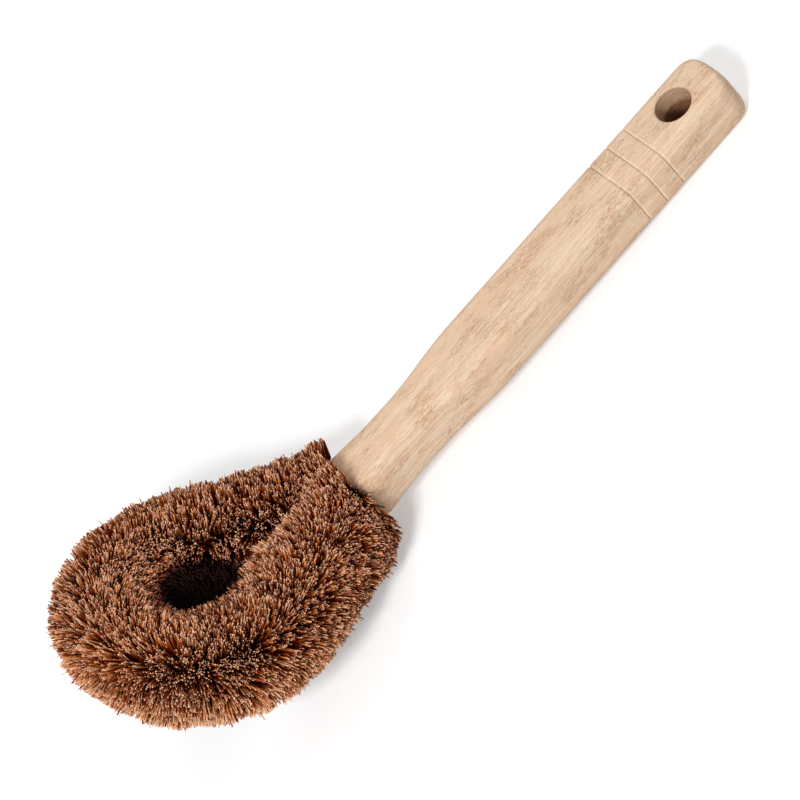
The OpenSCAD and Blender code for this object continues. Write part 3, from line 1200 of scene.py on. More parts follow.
class FibreTree:
    """The node tree that stands a tapered fibre on each point of a cloud.

    BOWS says how far each kind of fibre is drawn aside, in thicknesses. RINGS is how many rings
    of points a fibre has.
    """

    GIRTH, TAPER, SIDES, SEED, FINISH = "Girth", "Tip taper", "Sides", "Seed", "Finish"
    BOWS = (0.1, 0.4, 0.8, 1.3)
    RINGS = 3

    def __init__(self) -> None:
        """Builds the tree once."""
        self.tree = bpy.data.node_groups.new("stand_fibres", "GeometryNodeTree")
        self.declare()
        n = Nodes(self.tree)
        given = n.add("NodeGroupInput").outputs
        points = n.add("GeometryNodeMeshToPoints")
        n.link(given["Geometry"], points.inputs["Mesh"])
        stand = n.add("GeometryNodeInstanceOnPoints")
        stand.inputs["Pick Instance"].default_value = True
        n.link(points.outputs[0], stand.inputs["Points"])
        n.link(self.bows(n, given), stand.inputs["Instance"])
        pick = n.add("FunctionNodeRandomValue", data_type="INT")
        pick.inputs[5].default_value = len(self.BOWS) - 1
        n.link(n.math("ADD", given[self.SEED], 1.0), pick.inputs["Seed"])
        n.link(pick.outputs[2], stand.inputs["Instance Index"])
        n.link(self.turn(n, given), stand.inputs["Rotation"])
        n.link(self.size(n, given), stand.inputs["Scale"])
        real = n.add("GeometryNodeRealizeInstances")
        n.link(stand.outputs[0], real.inputs[0])
        finish = n.add("GeometryNodeSetMaterial")
        n.link(real.outputs[0], finish.inputs["Geometry"])
        n.link(given[self.FINISH], finish.inputs["Material"])
        out = n.add("NodeGroupOutput")
        n.link(finish.outputs[0], out.inputs["Geometry"])

    def declare(self) -> None:
        """Names the tree's inputs and its output."""
        sockets = self.tree.interface
        sockets.new_socket("Geometry", in_out="INPUT", socket_type="NodeSocketGeometry")
        for name, kind in ((self.GIRTH, "Float"), (self.TAPER, "Float"), (self.SIDES, "Int"),
                           (self.SEED, "Int"), (self.FINISH, "Material")):
            sockets.new_socket(name, in_out="INPUT", socket_type="NodeSocket" + kind)
        sockets.new_socket("Geometry", in_out="OUTPUT", socket_type="NodeSocketGeometry")

    def bows(self, n: Nodes, given: object) -> Socket:
        """Makes one fibre of each bow.

        Args:
            n: the tree's node helper.
            given: the tree's inputs.

        Returns:
            The fibres as instances to pick from.
        """
        fibres = n.add("GeometryNodeJoinGeometry")
        for bow in self.BOWS:
            single = n.add("GeometryNodeGeometryToInstance")
            n.link(self.one_fibre(n, given, bow), single.inputs[0])
            n.link(single.outputs[0], fibres.inputs[0])
        return fibres.outputs[0]

    def one_fibre(self, n: Nodes, given: object, bow: float) -> Socket:
        """A bowed fibre one unit long and one unit across, closed, thinner at its tip.

        Args:
            n: the tree's node helper.
            given: the tree's inputs.
            bow: how far its middle is drawn aside, in thicknesses.

        Returns:
            The fibre's geometry socket.
        """
        line = n.add("GeometryNodeCurvePrimitiveLine")
        line.inputs["End"].default_value = (0.0, 0.0, 1.0)
        steps = n.add("GeometryNodeResampleCurve")
        steps.inputs["Count"].default_value = self.RINGS
        n.link(line.outputs[0], steps.inputs["Curve"])
        where = n.add("GeometryNodeSplineParameter").outputs["Factor"]
        mark = n.add("GeometryNodeStoreNamedAttribute", data_type="FLOAT", domain="POINT")
        mark.inputs["Name"].default_value = "along"
        n.link(steps.outputs[0], mark.inputs["Geometry"])
        n.link(where, mark.inputs["Value"])
        thin = n.add("GeometryNodeSetCurveRadius")
        n.link(mark.outputs[0], thin.inputs["Curve"])
        less = n.math("SUBTRACT", 1.0, given[self.TAPER])
        n.link(n.math("SUBTRACT", 1.0, n.math("MULTIPLY", where, less)), thin.inputs["Radius"])
        ring = n.add("GeometryNodeCurvePrimitiveCircle")
        n.link(given[self.SIDES], ring.inputs["Resolution"])
        ring.inputs["Radius"].default_value = 0.5
        tube = n.add("GeometryNodeCurveToMesh")
        n.link(thin.outputs[0], tube.inputs["Curve"])
        n.link(ring.outputs[0], tube.inputs["Profile Curve"])
        tube.inputs["Fill Caps"].default_value = True
        scale = tube.inputs.get("Scale")
        if scale is not None:
            radius = n.add("GeometryNodeInputRadius")
            n.link(radius.outputs[0], scale)
        return self.bowed(n, tube.outputs[0], bow)

    @staticmethod
    def bowed(n: Nodes, tube: Socket, bow: float) -> Socket:
        """Draws a straight fibre aside, most at its middle.

        Args:
            n: the tree's node helper.
            tube: the straight fibre.
            bow: how far its middle is drawn aside, in thicknesses.

        Returns:
            The bowed fibre's geometry socket.
        """
        apart = n.add("ShaderNodeSeparateXYZ")
        n.link(n.add("GeometryNodeInputPosition").outputs[0], apart.inputs[0])
        z = apart.outputs[2]
        drawn = n.math("MULTIPLY", n.math("MULTIPLY", z, n.math("SUBTRACT", 1.0, z)), 4.0 * bow)
        aside = n.add("ShaderNodeCombineXYZ")
        n.link(drawn, aside.inputs[0])
        bend = n.add("GeometryNodeSetPosition")
        n.link(tube, bend.inputs["Geometry"])
        n.link(aside.outputs[0], bend.inputs["Offset"])
        return bend.outputs[0]

    def turn(self, n: Nodes, given: object) -> Socket:
        """Aims each fibre along its heading and spins it about itself.

        Args:
            n: the tree's node helper.
            given: the tree's inputs.

        Returns:
            The rotation socket.
        """
        aim = n.add("FunctionNodeAlignRotationToVector", axis="Z")
        n.link(self.attribute(n, "heading", "FLOAT_VECTOR"), aim.inputs["Vector"])
        spin = n.add("FunctionNodeRandomValue", data_type="FLOAT")
        spin.inputs[3].default_value = 2.0 * math.pi
        n.link(given[self.SEED], spin.inputs["Seed"])
        about = n.add("FunctionNodeAxisAngleToRotation")
        about.inputs["Axis"].default_value = (0.0, 0.0, 1.0)
        n.link(spin.outputs[1], about.inputs["Angle"])
        turned = n.add("FunctionNodeRotateRotation", rotation_space="LOCAL")
        n.link(aim.outputs[0], turned.inputs[0])
        n.link(about.outputs[0], turned.inputs[1])
        return turned.outputs[0]

    def size(self, n: Nodes, given: object) -> Socket:
        """Gives each fibre its thickness and its length.

        Args:
            n: the tree's node helper.
            given: the tree's inputs.

        Returns:
            The scale socket.
        """
        girth = n.math("MULTIPLY", self.attribute(n, "girth", "FLOAT"), given[self.GIRTH])
        size = n.add("ShaderNodeCombineXYZ")
        n.link(girth, size.inputs[0])
        n.link(girth, size.inputs[1])
        n.link(self.attribute(n, "reach", "FLOAT"), size.inputs[2])
        return size.outputs[0]

    @staticmethod
    def attribute(n: Nodes, name: str, kind: str) -> Socket:
        """Reads a named value of the cloud.

        Args:
            n: the tree's node helper.
            name: the value's name.
            kind: its type.

        Returns:
            The value's socket.
        """
        node = n.add("GeometryNodeInputNamedAttribute", data_type=kind)
        node.inputs["Name"].default_value = name
        return node.outputs["Attribute"]

    def apply(self, piece: bpy.types.Object, values: dict) -> None:
        """Runs the tree on a cloud and leaves a plain mesh.

        Args:
            piece: the cloud's object.
            values: the tree's named inputs and their values.
        """
        modifier = piece.modifiers.new("fibres", "NODES")
        modifier.node_group = self.tree
        for item in self.tree.interface.items_tree:
            if item.in_out == "INPUT" and item.name in values:
                modifier[item.identifier] = values[item.name]
        settle(piece)
        for name in ("heading", "reach", "girth"):
            if name in piece.data.attributes:
                piece.data.attributes.remove(piece.data.attributes[name])


@dataclass(frozen=True)
class FibreTints:
    """How light the fibres are round the pile, from 0 for unlit to 1 for straw, with painted light
    and shade by place.

    Attributes:
        crest_light: painted light added along the inner top of the front arm, where its fibres
        look lit from above, up to crest_to from its mouth.
        crest_lift, crest_from, crest_fade: how high up it lies, and how it begins and ends.
        fold_shade: painted shade added along the inner side of the back arm, in the crease
        between the arms, up to fold_to from its mouth.
        fold_fade: over what length it ends.
        hem_light: painted light added low on the outer side, from hem_from on.
        hem_drop: how low down it lies.
        side: painted shade added on the outer side of the front arm, up to side_to.
        side_turn, side_fade: how far round it is full, and over what length it ends.
        middle, spread: the usual tint, and how far single fibres stray from it.
        clump, tuft: how far clumps and tufts differ in tint.
        dark_share, dark_by, least: how many fibres are dark, how dark, and the least tint.
        inward: the cosine from which a fibre counts as on the inner side.
    """

    middle: float = 0.56
    spread: float = 0.34
    clump: float = 0.16
    tuft: float = 0.18
    dark_share: float = 0.13
    dark_by: float = 0.25
    least: float = 0.06
    crest_light: float = 0.20
    crest_lift: Pair = (0.45, 0.65)
    crest_from: float = 4.0
    crest_to: float = 40.0
    crest_fade: float = 15.0
    fold_shade: float = -0.18
    fold_to: float = 32.0
    fold_fade: float = 12.0
    inward: float = 0.5
    hem_light: float = 0.42
    hem_drop: Pair = (0.2, -0.4)
    hem_from: Pair = (30.0, 60.0)
    side: float = -0.09
    side_turn: float = -0.625
    side_to: float = 92.0
    side_fade: float = 30.0

    def shading(self, q: np.ndarray, angle: np.ndarray, back: np.ndarray) -> np.ndarray:
        """The painted light and shade that the place on the pile adds to a tint.

        Args:
            q: places along the loop.
            angle: angles round the wire, from the inward side.
            back: distances from the back arm's mouth.

        Returns:
            What is added.
        """
        toward, up = np.cos(angle), np.sin(angle)
        outward = 0.5 - 0.5 * toward
        inner = fade(toward, 0.0, self.inward)
        crest_light = inner * fade(up, *self.crest_lift) * fade(q, 0.0, self.crest_from)
        crest_light *= fade(q, self.crest_to, self.crest_to - self.crest_fade)
        fold_shade = inner * fade(back, self.fold_to, self.fold_to - self.fold_fade)
        hem_light = fade(up, *self.hem_drop) * outward * fade(q, *self.hem_from)
        side = fade(toward, 0.0, self.side_turn)
        side *= fade(q, self.side_to, self.side_to - self.side_fade)
        return self.crest_light * crest_light + self.hem_light * hem_light + self.side * side + self.fold_shade * fold_shade


@dataclass
class CoirPile:
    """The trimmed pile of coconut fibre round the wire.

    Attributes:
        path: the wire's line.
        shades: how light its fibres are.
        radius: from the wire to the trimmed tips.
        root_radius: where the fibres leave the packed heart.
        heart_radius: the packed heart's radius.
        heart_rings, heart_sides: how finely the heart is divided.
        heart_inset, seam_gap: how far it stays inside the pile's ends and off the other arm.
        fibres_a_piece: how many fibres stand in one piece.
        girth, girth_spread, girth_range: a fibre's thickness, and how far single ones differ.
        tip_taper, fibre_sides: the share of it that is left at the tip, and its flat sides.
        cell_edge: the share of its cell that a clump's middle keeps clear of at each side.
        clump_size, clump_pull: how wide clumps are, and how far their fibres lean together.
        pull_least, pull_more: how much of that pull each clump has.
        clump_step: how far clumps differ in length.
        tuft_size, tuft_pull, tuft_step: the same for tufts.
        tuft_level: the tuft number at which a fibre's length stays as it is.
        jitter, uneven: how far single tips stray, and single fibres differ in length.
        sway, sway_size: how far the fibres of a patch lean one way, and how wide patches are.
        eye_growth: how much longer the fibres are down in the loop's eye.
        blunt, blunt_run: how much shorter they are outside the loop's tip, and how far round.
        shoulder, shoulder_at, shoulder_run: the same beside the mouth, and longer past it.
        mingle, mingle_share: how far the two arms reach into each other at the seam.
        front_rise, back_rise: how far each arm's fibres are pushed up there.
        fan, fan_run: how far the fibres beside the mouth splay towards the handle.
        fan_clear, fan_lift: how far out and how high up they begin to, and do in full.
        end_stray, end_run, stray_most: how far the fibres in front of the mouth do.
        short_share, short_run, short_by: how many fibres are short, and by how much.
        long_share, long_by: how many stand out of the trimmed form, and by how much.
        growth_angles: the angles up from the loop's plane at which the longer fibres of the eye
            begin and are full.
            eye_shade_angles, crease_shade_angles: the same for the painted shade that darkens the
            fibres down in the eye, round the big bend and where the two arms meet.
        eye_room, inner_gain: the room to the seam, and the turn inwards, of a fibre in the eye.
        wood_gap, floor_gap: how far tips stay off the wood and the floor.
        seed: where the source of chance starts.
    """

    PRIMES = (73856093, 19349663, 83492791)
    MIXER = 1274126177
    LOW_BITS = 0xFFFFFF

    path: LoopPath = field(default_factory=LoopPath)
    shades: FibreTints = field(default_factory=FibreTints)
    radius: float = 17.6
    root_radius: float = 7.5
    heart_radius: float = 8.6
    heart_rings: int = 140
    heart_sides: int = 28
    heart_inset: float = 0.4
    seam_gap: float = 0.2
    fibres_a_piece: int = 13300
    girth: float = 0.52
    girth_spread: float = 0.22
    girth_range: Pair = (0.55, 1.8)
    tip_taper: float = 0.80
    fibre_sides: int = 3
    cell_edge: float = 0.1
    clump_size: float = 6.8
    clump_pull: float = 0.18
    pull_least: float = 0.3
    pull_more: float = 1.4
    clump_step: float = 0.8
    tuft_size: float = 2.9
    tuft_pull: float = 0.32
    tuft_step: float = 1.3
    tuft_level: float = 0.6
    jitter: float = 0.50
    sway: float = 1.9
    sway_size: float = 9.0
    uneven: float = 0.25
    short_share: float = 0.45
    short_run: float = 1.4
    short_by: float = 5.0
    long_share: float = 0.02
    long_by: Pair = (0.3, 1.8)
    eye_growth: float = 2.2
    blunt: float = 1.7
    blunt_run: float = 15.0
    shoulder: float = 1.3
    shoulder_at: float = 5.0
    shoulder_run: float = 14.0
    mingle: float = 2.2
    mingle_share: float = 0.6
    front_rise: float = 0.80
    back_rise: float = 0.45
    growth_angles: Pair = (math.radians(48.0), math.radians(26.0))
    eye_shade_angles: Pair = (math.radians(43.0), math.radians(22.0))
    crease_shade_angles: Pair = (math.radians(22.0), math.radians(4.0))
    eye_room: Pair = (15.0, 19.0)
    inner_gain: float = 3.0
    fan: float = math.radians(21.5)
    fan_run: float = 9.0
    fan_clear: Pair = (9.0, 12.0)
    fan_lift: Pair = (-8.0, 4.0)
    end_stray: float = math.radians(5.0)
    end_run: float = 3.0
    stray_most: float = 1.5
    wood_gap: float = 0.15
    floor_gap: float = 0.35
    seed: int = 20

    def span(self, stretch: Stretch) -> Pair:
        """From where to where along the loop a stretch runs.

        Args:
            stretch: which stretch.

        Returns:
            The places of its two ends.
        """
        start = self.path.pile_from
        whole = 2 * (self.path.tip_at - start)
        count = len(Stretch)
        return start + whole * stretch.order / count, start + whole * (stretch.order + 1) / count

    @staticmethod
    def cell_noise(i: np.ndarray, j: np.ndarray, salt: int) -> np.ndarray:
        """An even, repeatable number for each cell of a grid.

        Args:
            i: the cells' columns.
            j: the cells' rows.
            salt: which set of numbers.

        Returns:
            Numbers from 0 to 1.
        """
        first, second, third = CoirPile.PRIMES
        h = (i.astype(np.int64) * first) ^ (j.astype(np.int64) * second) ^ (salt * third)
        h = (h ^ (h >> 13)) * CoirPile.MIXER & 0xFFFFFFFF
        return ((h ^ (h >> 16)) & CoirPile.LOW_BITS) / float(CoirPile.LOW_BITS)

    def drift(self, x: np.ndarray, y: np.ndarray, salt: int) -> np.ndarray:
        """A smooth, repeatable field that says which way the fibres of a patch lean.

        Args:
            x: places along the loop.
            y: places round the wire.
            salt: which field.

        Returns:
            Values from -1 to 1.
        """
        i, j = np.floor(x / self.sway_size), np.floor(y / self.sway_size)
        u, v = ease(x / self.sway_size - i), ease(y / self.sway_size - j)
        near = (1 - v) * self.cell_noise(i, j, salt) + v * self.cell_noise(i, j + 1, salt)
        far = (1 - v) * self.cell_noise(i + 1, j, salt) + v * self.cell_noise(i + 1, j + 1, salt)
        return 2.0 * ((1 - u) * near + u * far) - 1.0

    def gather(self, x: np.ndarray, y: np.ndarray, size: float,
               salt: int) -> tuple[np.ndarray, np.ndarray, np.ndarray]:
        """Finds the nearest clump to each point.

        Args:
            x: places along the loop.
            y: places round the wire.
            size: how far apart clumps stand.
            salt: which set of clumps.

        Returns:
            The clump's middle along and round, and a number from 0 to 1 for that clump.
        """
        i, j = np.floor(x / size), np.floor(y / size)
        best = np.full(x.shape, np.inf)
        cx, cy, tone = x.copy(), y.copy(), np.zeros_like(x)
        edge, inner = self.cell_edge, 1.0 - 2.0 * self.cell_edge
        for di in (-1, 0, 1):
            for dj in (-1, 0, 1):
                gi, gj = i + di, j + dj
                px = (gi + edge + inner * self.cell_noise(gi, gj, salt)) * size
                py = (gj + edge + inner * self.cell_noise(gi, gj, salt + 1)) * size
                away = (px - x) ** 2 + (py - y) ** 2
                nearer = away < best
                best = np.where(nearer, away, best)
                cx, cy = np.where(nearer, px, cx), np.where(nearer, py, cy)
                tone = np.where(nearer, self.cell_noise(gi, gj, salt + 2), tone)
        return cx, cy, tone

    def scatter(self, stretch: Stretch) -> FibreCloud:
        """Scatters one stretch's fibres.

        Args:
            stretch: which stretch.

        Returns:
            Its fibres, in millimetres in the handle's frame.
        """
        rng = np.random.default_rng(self.seed + stretch.order)
        count = self.fibres_a_piece
        q = rng.uniform(*self.span(stretch), count)
        angle = rng.uniform(0.0, 2 * math.pi, count)
        girth = np.clip(rng.normal(1.0, self.girth_spread, count), *self.girth_range)

        turn = angle * self.radius
        cx, cy, clump = self.gather(q, turn, self.clump_size, 3)
        pull = self.clump_pull * (self.pull_least + self.pull_more * clump)
        tip_q = q + (cx - q) * pull + self.sway * self.drift(q, turn, 41)
        tip_turn = turn + (cy - turn) * pull + self.sway * self.drift(q, turn, 47)
        tx, ty, tuft = self.gather(tip_q, tip_turn, self.tuft_size, 11)
        tip_q += (tx - tip_q) * self.tuft_pull + rng.normal(0, self.jitter, count)
        tip_turn += (ty - tip_turn) * self.tuft_pull + rng.normal(0, self.jitter, count)
        tip_angle = tip_turn / self.radius

        length = self.lengths(q, angle, clump, tuft, rng)
        length += self.eye_growth * self.in_the_eye(
            tip_q, tip_angle, self.growth_angles, self.growth_angles)
        tips = self.stand(tip_q, tip_angle, length, rng)
        roots = self.stand(q, angle, np.full(count, self.root_radius), rng)
        tints = self.tints(q, angle, clump, tuft, rng)
        # Painted shade: fibres down in the loop's eye are darkened towards the unlit tint, as that
        # hollow lies in shadow.
        tints *= 1.0 - self.in_the_eye(tip_q, tip_angle, self.eye_shade_angles, self.crease_shade_angles)
        return FibreCloud(roots, tips, tints, girth)

    def lengths(self, q: np.ndarray, angle: np.ndarray, clump: np.ndarray, tuft: np.ndarray,
                rng: np.random.Generator) -> np.ndarray:
        """How far the fibres reach from the wire.

        Args:
            q: places along the loop.
            angle: angles round the wire, from the inward side.
            clump: each fibre's clump number.
            tuft: each fibre's tuft number.
            rng: the source of chance.

        Returns:
            The lengths.
        """
        count = len(q)
        length = self.radius + rng.normal(0, self.uneven, count)
        length += (clump - 0.5) * self.clump_step + (tuft - self.tuft_level) * self.tuft_step
        short = rng.random(count) < self.short_share
        length -= np.where(short, rng.random(count) ** self.short_run * self.short_by, 0.0)
        long = rng.random(count) < self.long_share
        length += np.where(long, rng.uniform(*self.long_by, count), 0.0)
        outward = 0.5 - 0.5 * np.cos(angle)
        ahead = np.exp(-((q - self.path.tip_at) / self.blunt_run) ** 2)
        length -= self.blunt * ahead * outward
        along = np.clip(q / self.shoulder_at - 1.0, -1.0, 1.0)
        length += self.shoulder * along * np.exp(-(q / self.shoulder_run) ** 2) * outward
        return length

    def tints(self, q: np.ndarray, angle: np.ndarray, clump: np.ndarray, tuft: np.ndarray,
              rng: np.random.Generator) -> np.ndarray:
        """How light the fibres are.

        Args:
            q: places along the loop.
            angle: angles round the wire, from the inward side.
            clump: each fibre's clump number.
            tuft: each fibre's tuft number.
            rng: the source of chance.

        Returns:
            The tints, from 0 to 1.
        """
        shades = self.shades
        tint = shades.middle + shades.spread * rng.normal(0, 1, len(q))
        tint += shades.clump * (clump - 0.5) + shades.tuft * (tuft - 0.5)
        # Painted light and shade that depend on the place on the pile.
        tint += shades.shading(q, angle, 2 * self.path.tip_at - q)
        dark = rng.random(len(q)) < shades.dark_share
        return np.clip(np.where(dark, tint * shades.dark_by, tint), shades.least, 1.0)

    def in_the_eye(self, q: np.ndarray, angle: np.ndarray, bend: Pair, crease: Pair) -> np.ndarray:
        """How much of a fibre is down in the loop's eye.

        Args:
            q: places along the loop.
            angle: angles round the wire, from the inward side.
            bend: the angles at which it begins and is full round the big bend.
            crease: the same where the two arms meet.

        Returns:
            From 0 for none to 1 for all of it.
        """
        room = self.path.rings(self.path.on_pile(q))[3]
        wide = fade(room, self.radius, self.path.loop_radius)
        start = np.sin(crease[0] + (bend[0] - crease[0]) * wide)
        full = np.sin(crease[1] + (bend[1] - crease[1]) * wide)
        inner = ease(np.cos(angle) * self.inner_gain)
        return fade(np.sin(angle), start, full) * inner * fade(room, *self.eye_room)

    def stand(self, q: np.ndarray, angle: np.ndarray, length: np.ndarray,
              rng: np.random.Generator) -> np.ndarray:
        """Places points round the wire, pressed flat where the two arms meet.

        Args:
            q: places along the loop.
            angle: angles round the wire, from the inward side.
            length: distances from the wire.
            rng: the source of the small unevenness along the seam.

        Returns:
            The points, in millimetres.
        """
        q = self.path.on_pile(q)
        centre, inward, upward, room = self.path.rings(q)
        across, up = length * np.cos(angle), length * np.sin(angle)
        reach = self.mingle * rng.normal(self.mingle_share, self.mingle_share, len(q))
        limit = np.maximum(room + reach, self.mingle_share)
        full = np.sqrt(np.maximum(length ** 2 - limit ** 2, 0.0))
        rise = np.where(q < self.path.tip_at, self.front_rise, self.back_rise)
        spread = np.sign(up) * (np.abs(up) + rise * (full - np.abs(up)))
        up = np.where(across > limit, spread, up)
        across = np.minimum(across, limit)
        stem = across[:, None] * inward + up[:, None] * upward
        return centre + self.splay(q, centre + stem, stem, rng)

    def splay(self, q: np.ndarray, outer: np.ndarray, stem: np.ndarray,
              rng: np.random.Generator) -> np.ndarray:
        """Leans the fibres next to the mouth towards the handle, most of all beside it.

        Args:
            q: places along the loop.
            outer: where the stems end.
            stem: the stems, from the wire outwards.
            rng: the source of the stray ones.

        Returns:
            The stems, leaned.
        """
        aside = fade(outer[:, 1], *self.fan_clear) * fade(outer[:, 2], *self.fan_lift)
        near = np.minimum(q, 2 * self.path.tip_at - q) - self.path.pile_from
        stray = np.minimum(np.abs(rng.normal(0, 1, len(q))), self.stray_most)
        lean = self.fan * fade(near, self.fan_run, 0.0) * aside
        lean += self.end_stray * stray * fade(near, self.end_run, 0.0) * (1.0 - aside)
        back = np.linalg.norm(stem, axis=1) * np.sin(lean)
        stem = stem * np.cos(lean)[:, None]
        stem[:, 0] += back
        return stem

    def clear_handle(self, tips: np.ndarray, handle: WoodenHandle) -> np.ndarray:
        """Keeps tips off the wood: those in front of the mouth stop just short of it.

        Args:
            tips: the tips, changed in place.
            handle: the handle's sizes.

        Returns:
            The tips.
        """
        over = (np.abs(tips[:, 1]) < handle.mouth_width / 2) & (
            np.abs(tips[:, 2]) < handle.thickness / 2)
        tips[:, 0] = np.where(over, np.minimum(tips[:, 0], -self.wood_gap), tips[:, 0])
        return tips

    def clear_floor(self, tips: np.ndarray, place: HandleFrame) -> np.ndarray:
        """Lifts tips that would go through the floor, along the handle's normal.

        Args:
            tips: the tips, changed in place.
            place: the handle's frame.

        Returns:
            The tips.
        """
        height = place.place(tips)[:, 2] / MM
        tips[:, 2] += np.maximum(self.floor_gap - height, 0.0) / place.normal[2]
        return tips

    def heart(self, place: HandleFrame) -> bpy.types.Object:
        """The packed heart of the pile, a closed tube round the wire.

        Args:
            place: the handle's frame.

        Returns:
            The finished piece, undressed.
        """
        start = self.path.pile_from + self.heart_inset
        end = 2 * self.path.tip_at - start
        q = np.repeat(np.linspace(start, end, self.heart_rings), self.heart_sides)
        round_wire = np.arange(self.heart_sides) * 2 * math.pi / self.heart_sides
        angle = np.tile(round_wire, self.heart_rings)
        centre, inward, upward, room = self.path.rings(q)
        toward = np.cos(angle)
        most = (room - self.seam_gap) / np.maximum(toward, 1e-6)
        reach = np.where(toward > 1e-3, np.minimum(self.heart_radius, most), self.heart_radius)
        points = centre + reach[:, None] * (toward[:, None] * inward
                                            + np.sin(angle)[:, None] * upward)
        piece = new_mesh_object("fibre_heart", place.place(points),
                                wrap_rings(self.heart_rings, self.heart_sides))
        outwards(piece.data)
        piece.data.shade_smooth()
        return piece

    def build(self, stretch: Stretch, place: HandleFrame, handle: WoodenHandle,
              tree: FibreTree, finish: bpy.types.Material) -> bpy.types.Object:
        """Builds one stretch of the pile as a plain mesh.

        Args:
            stretch: which stretch.
            place: the handle's frame.
            handle: the handle that the fibres keep clear of.
            tree: the node tree that stands the fibres.
            finish: their material.

        Returns:
            The finished piece.
        """
        cloud = self.scatter(stretch)
        tips = self.clear_floor(self.clear_handle(cloud.tips, handle), place)
        lean = tips - cloud.roots
        reach = np.linalg.norm(lean, axis=1)
        piece = new_mesh_object("fibres_" + stretch.value, place.place(cloud.roots), [])
        store(piece.data, "heading", "FLOAT_VECTOR", place.turn(lean / reach[:, None]))
        store(piece.data, "reach", "FLOAT", reach * MM)
        store(piece.data, "girth", "FLOAT", cloud.girths)
        store(piece.data, "tint", "FLOAT", cloud.tints)
        tree.apply(piece, {
            FibreTree.GIRTH: self.girth * MM,
            FibreTree.TAPER: self.tip_taper,
            FibreTree.SIDES: self.fibre_sides,
            FibreTree.SEED: self.seed,
            FibreTree.FINISH: finish,
        })
        piece.data.shade_smooth()
        return piece


@dataclass(frozen=True)
class SoftLamp:
    """A square area lamp.

    Attributes:
        name: its name.
        place: where it hangs, in metres.
        size: its side, in metres.
        power: its power, in watts.
    """

    name: str
    place: tuple[float, float, float]
    size: float
    power: float

    def hang(self, aim: Vector) -> None:
        """Hangs the lamp.

        Args:
            aim: the point that it faces.
        """
        data = bpy.data.lights.new(self.name, "AREA")
        data.shape = "SQUARE"
        data.size = self.size
        data.energy = self.power
        lamp = bpy.data.objects.new(self.name, data)
        lamp.location = self.place
        lamp.rotation_euler = (aim - lamp.location).to_track_quat("-Z", "Y").to_euler()
        bpy.context.scene.collection.objects.link(lamp)


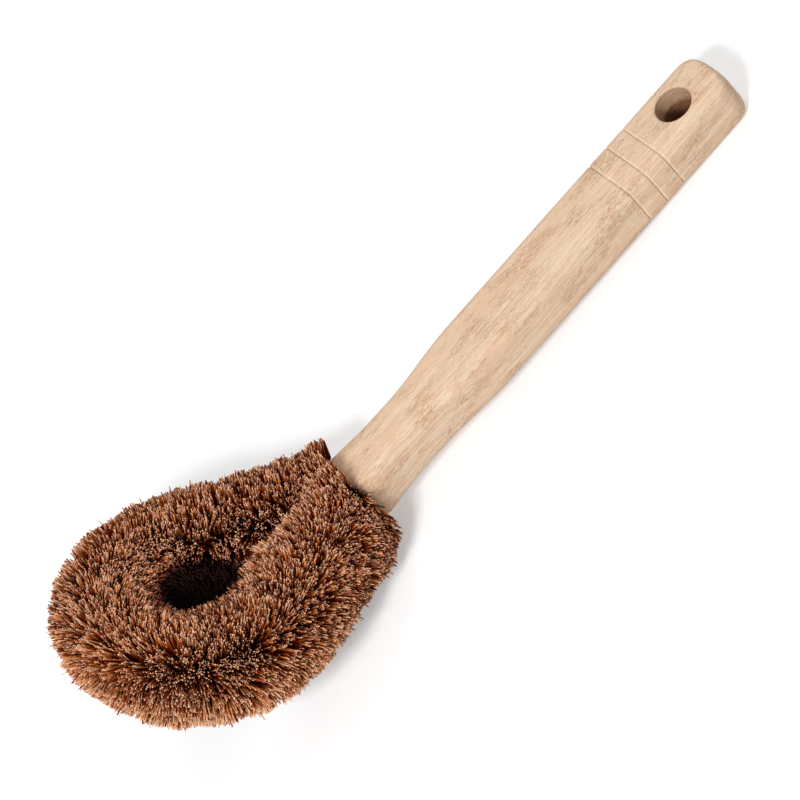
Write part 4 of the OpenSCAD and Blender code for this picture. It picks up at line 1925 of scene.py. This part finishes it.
@dataclass
class Studio:
    """The plain pale floor, the soft lights and the camera.

    Attributes:
        azimuth: the camera's bearing in degrees, 0 looking along +y.
        elevation: its height above the horizon, in degrees.
        roll: how far the picture is turned, in degrees.
        scale: picture dots for a millimetre at the origin.
        origin_x: the row's origin across the picture, in dots.
        origin_y: the row's origin down the picture, in dots.
        picture: the picture's side, in dots.
        lens, sensor: the camera's focal length and its sensor's width, in millimetres.
        far_clip: how far the camera sees, in metres.
        world_strength: how much light the surround gives.
        floor_half, floor_colour, floor_roughness: half the floor's side, and its finish.
        floor_glow: what is added to the floor as the camera sees it.
        lamps: the lamps.
        aim: the height of the point that they face, in metres.
    """

    azimuth: float = -5.191
    elevation: float = 46.58
    roll: float = -46.735
    scale: float = 3.2955
    origin_x: float = 455.54
    origin_y: float = 432.67
    picture: float = 800.0
    lens: float = 500.0
    sensor: float = 36.0
    far_clip: float = 50.0
    world_strength: float = 0.34
    floor_half: float = 6.0
    floor_colour: Colour = (0.80, 0.80, 0.80)
    floor_roughness: float = 0.9
    floor_glow: float = 0.34
    lamps: tuple = (
        SoftLamp("key", (-0.90, -1.10, 1.50), size=0.42, power=31.5),
        SoftLamp("back", (0.50, 0.85, 1.50), size=1.0, power=10.0),
    )
    aim: float = 0.02

    def axes(self) -> tuple[Vector, Vector, Vector]:
        """Works out how the camera is turned.

        Returns:
            Its right, up and backward directions.
        """
        az, el, roll = (math.radians(v) for v in (self.azimuth, self.elevation, self.roll))
        back = Vector((math.sin(az) * math.cos(el), -math.cos(az) * math.cos(el), math.sin(el)))
        level = Vector((0.0, 0.0, 1.0)).cross(back).normalized()
        above = back.cross(level)
        right = math.cos(roll) * level + math.sin(roll) * above
        up = -math.sin(roll) * level + math.cos(roll) * above
        return right, up, back

    def camera(self) -> None:
        """Sets up the camera at the photograph's angle."""
        right, up, back = self.axes()
        distance = self.lens / self.sensor * self.picture / self.scale * MM
        middle = self.picture / 2
        target = (right * (middle - self.origin_x) - up * (middle - self.origin_y)) * (
            MM / self.scale)
        data = bpy.data.cameras.new("camera")
        data.lens = self.lens
        data.sensor_width = self.sensor
        data.clip_end = self.far_clip
        camera = bpy.data.objects.new("camera", data)
        turn = Matrix((right, up, back)).transposed().to_4x4()
        camera.matrix_world = Matrix.Translation(target + back * distance) @ turn
        bpy.context.scene.collection.objects.link(camera)
        bpy.context.scene.camera = camera

    def world(self) -> None:
        """Sets an even white surround, which looks white to the camera, metal and glass."""
        world = bpy.data.worlds.new("surround")
        world.use_nodes = True
        n = Nodes(world.node_tree)
        back = world.node_tree.nodes["Background"]
        rays = n.add("ShaderNodeLightPath")
        seen = n.math("MAXIMUM", rays.outputs["Is Camera Ray"], n.math(
            "MAXIMUM", rays.outputs["Is Glossy Ray"], rays.outputs["Is Transmission Ray"]))
        strength = n.math("MULTIPLY_ADD", seen, 1.0 - self.world_strength, self.world_strength)
        back.inputs["Color"].default_value = (*WHITE, 1.0)
        n.link(strength, back.inputs["Strength"])
        bpy.context.scene.world = world

    def floor(self) -> bpy.types.Object:
        """Lays the pale floor.

        Returns:
            The floor, dressed.
        """
        half = self.floor_half
        corners = np.array([(-half, -half, 0), (half, -half, 0), (half, half, 0), (-half, half, 0)])
        floor = new_mesh_object("floor", corners, [(0, 1, 2, 3)])
        material, n, shader = start_material("pale_floor", self.floor_roughness, 0.0)
        shader.inputs["Base Color"].default_value = (*self.floor_colour, 1.0)
        glow = n.add("ShaderNodeEmission")
        rays = n.add("ShaderNodeLightPath")
        both = n.add("ShaderNodeAddShader")
        out = material.node_tree.nodes["Material Output"]
        n.link(n.math("MULTIPLY", rays.outputs["Is Camera Ray"], self.floor_glow),
               glow.inputs["Strength"])
        n.link(shader.outputs[0], both.inputs[0])
        n.link(glow.outputs[0], both.inputs[1])
        n.link(both.outputs[0], out.inputs["Surface"])
        dress(floor, material)
        return floor

    def build(self) -> None:
        """Sets up the whole studio."""
        bpy.context.scene.view_settings.view_transform = "Standard"
        self.world()
        self.floor()
        for lamp in self.lamps:
            lamp.hang(Vector((0.0, 0.0, self.aim)))
        self.camera()


def main() -> None:
    """Builds the brush and its studio."""
    logging.basicConfig(level=logging.INFO, format="%(message)s")
    handle = WoodenHandle()
    place = HandleFrame.from_record(frame["record"], handle.hole_x)

    wood = handle.build(place)
    dress(wood, PaleWood().build(place, handle))
    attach(wood, "root")
    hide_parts("handle")
    log.info("%s: %d faces", wood.name, len(wood.data.polygons))

    wire = frame["nodes"]["twisted_wire"]
    zinc = GALVANISED_WIRE.build()
    for slot in wire.material_slots:
        slot.link = "OBJECT"
        slot.material = zinc
    log.info("%s: the frame's own solid, dressed", wire.name)

    pile = CoirPile()
    heart = pile.heart(place)
    # Painted shade: the heart is dressed near-black, for the shade deep in the pile.
    dress(heart, HEART_PAINTED_SHADE.build())
    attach(heart, "root")
    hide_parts("coir_bristles")
    log.info("%s: %d faces", heart.name, len(heart.data.polygons))

    tree = FibreTree()
    coir = CoconutFibre().build()
    for stretch in Stretch:
        fibres = pile.build(stretch, place, handle, tree, coir)
        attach(fibres, "root")
        log.info("%s: %d fibres, %d faces", fibres.name, pile.fibres_a_piece,
                 len(fibres.data.polygons))

    Studio().build()


if __name__ == "__main__":
    main()
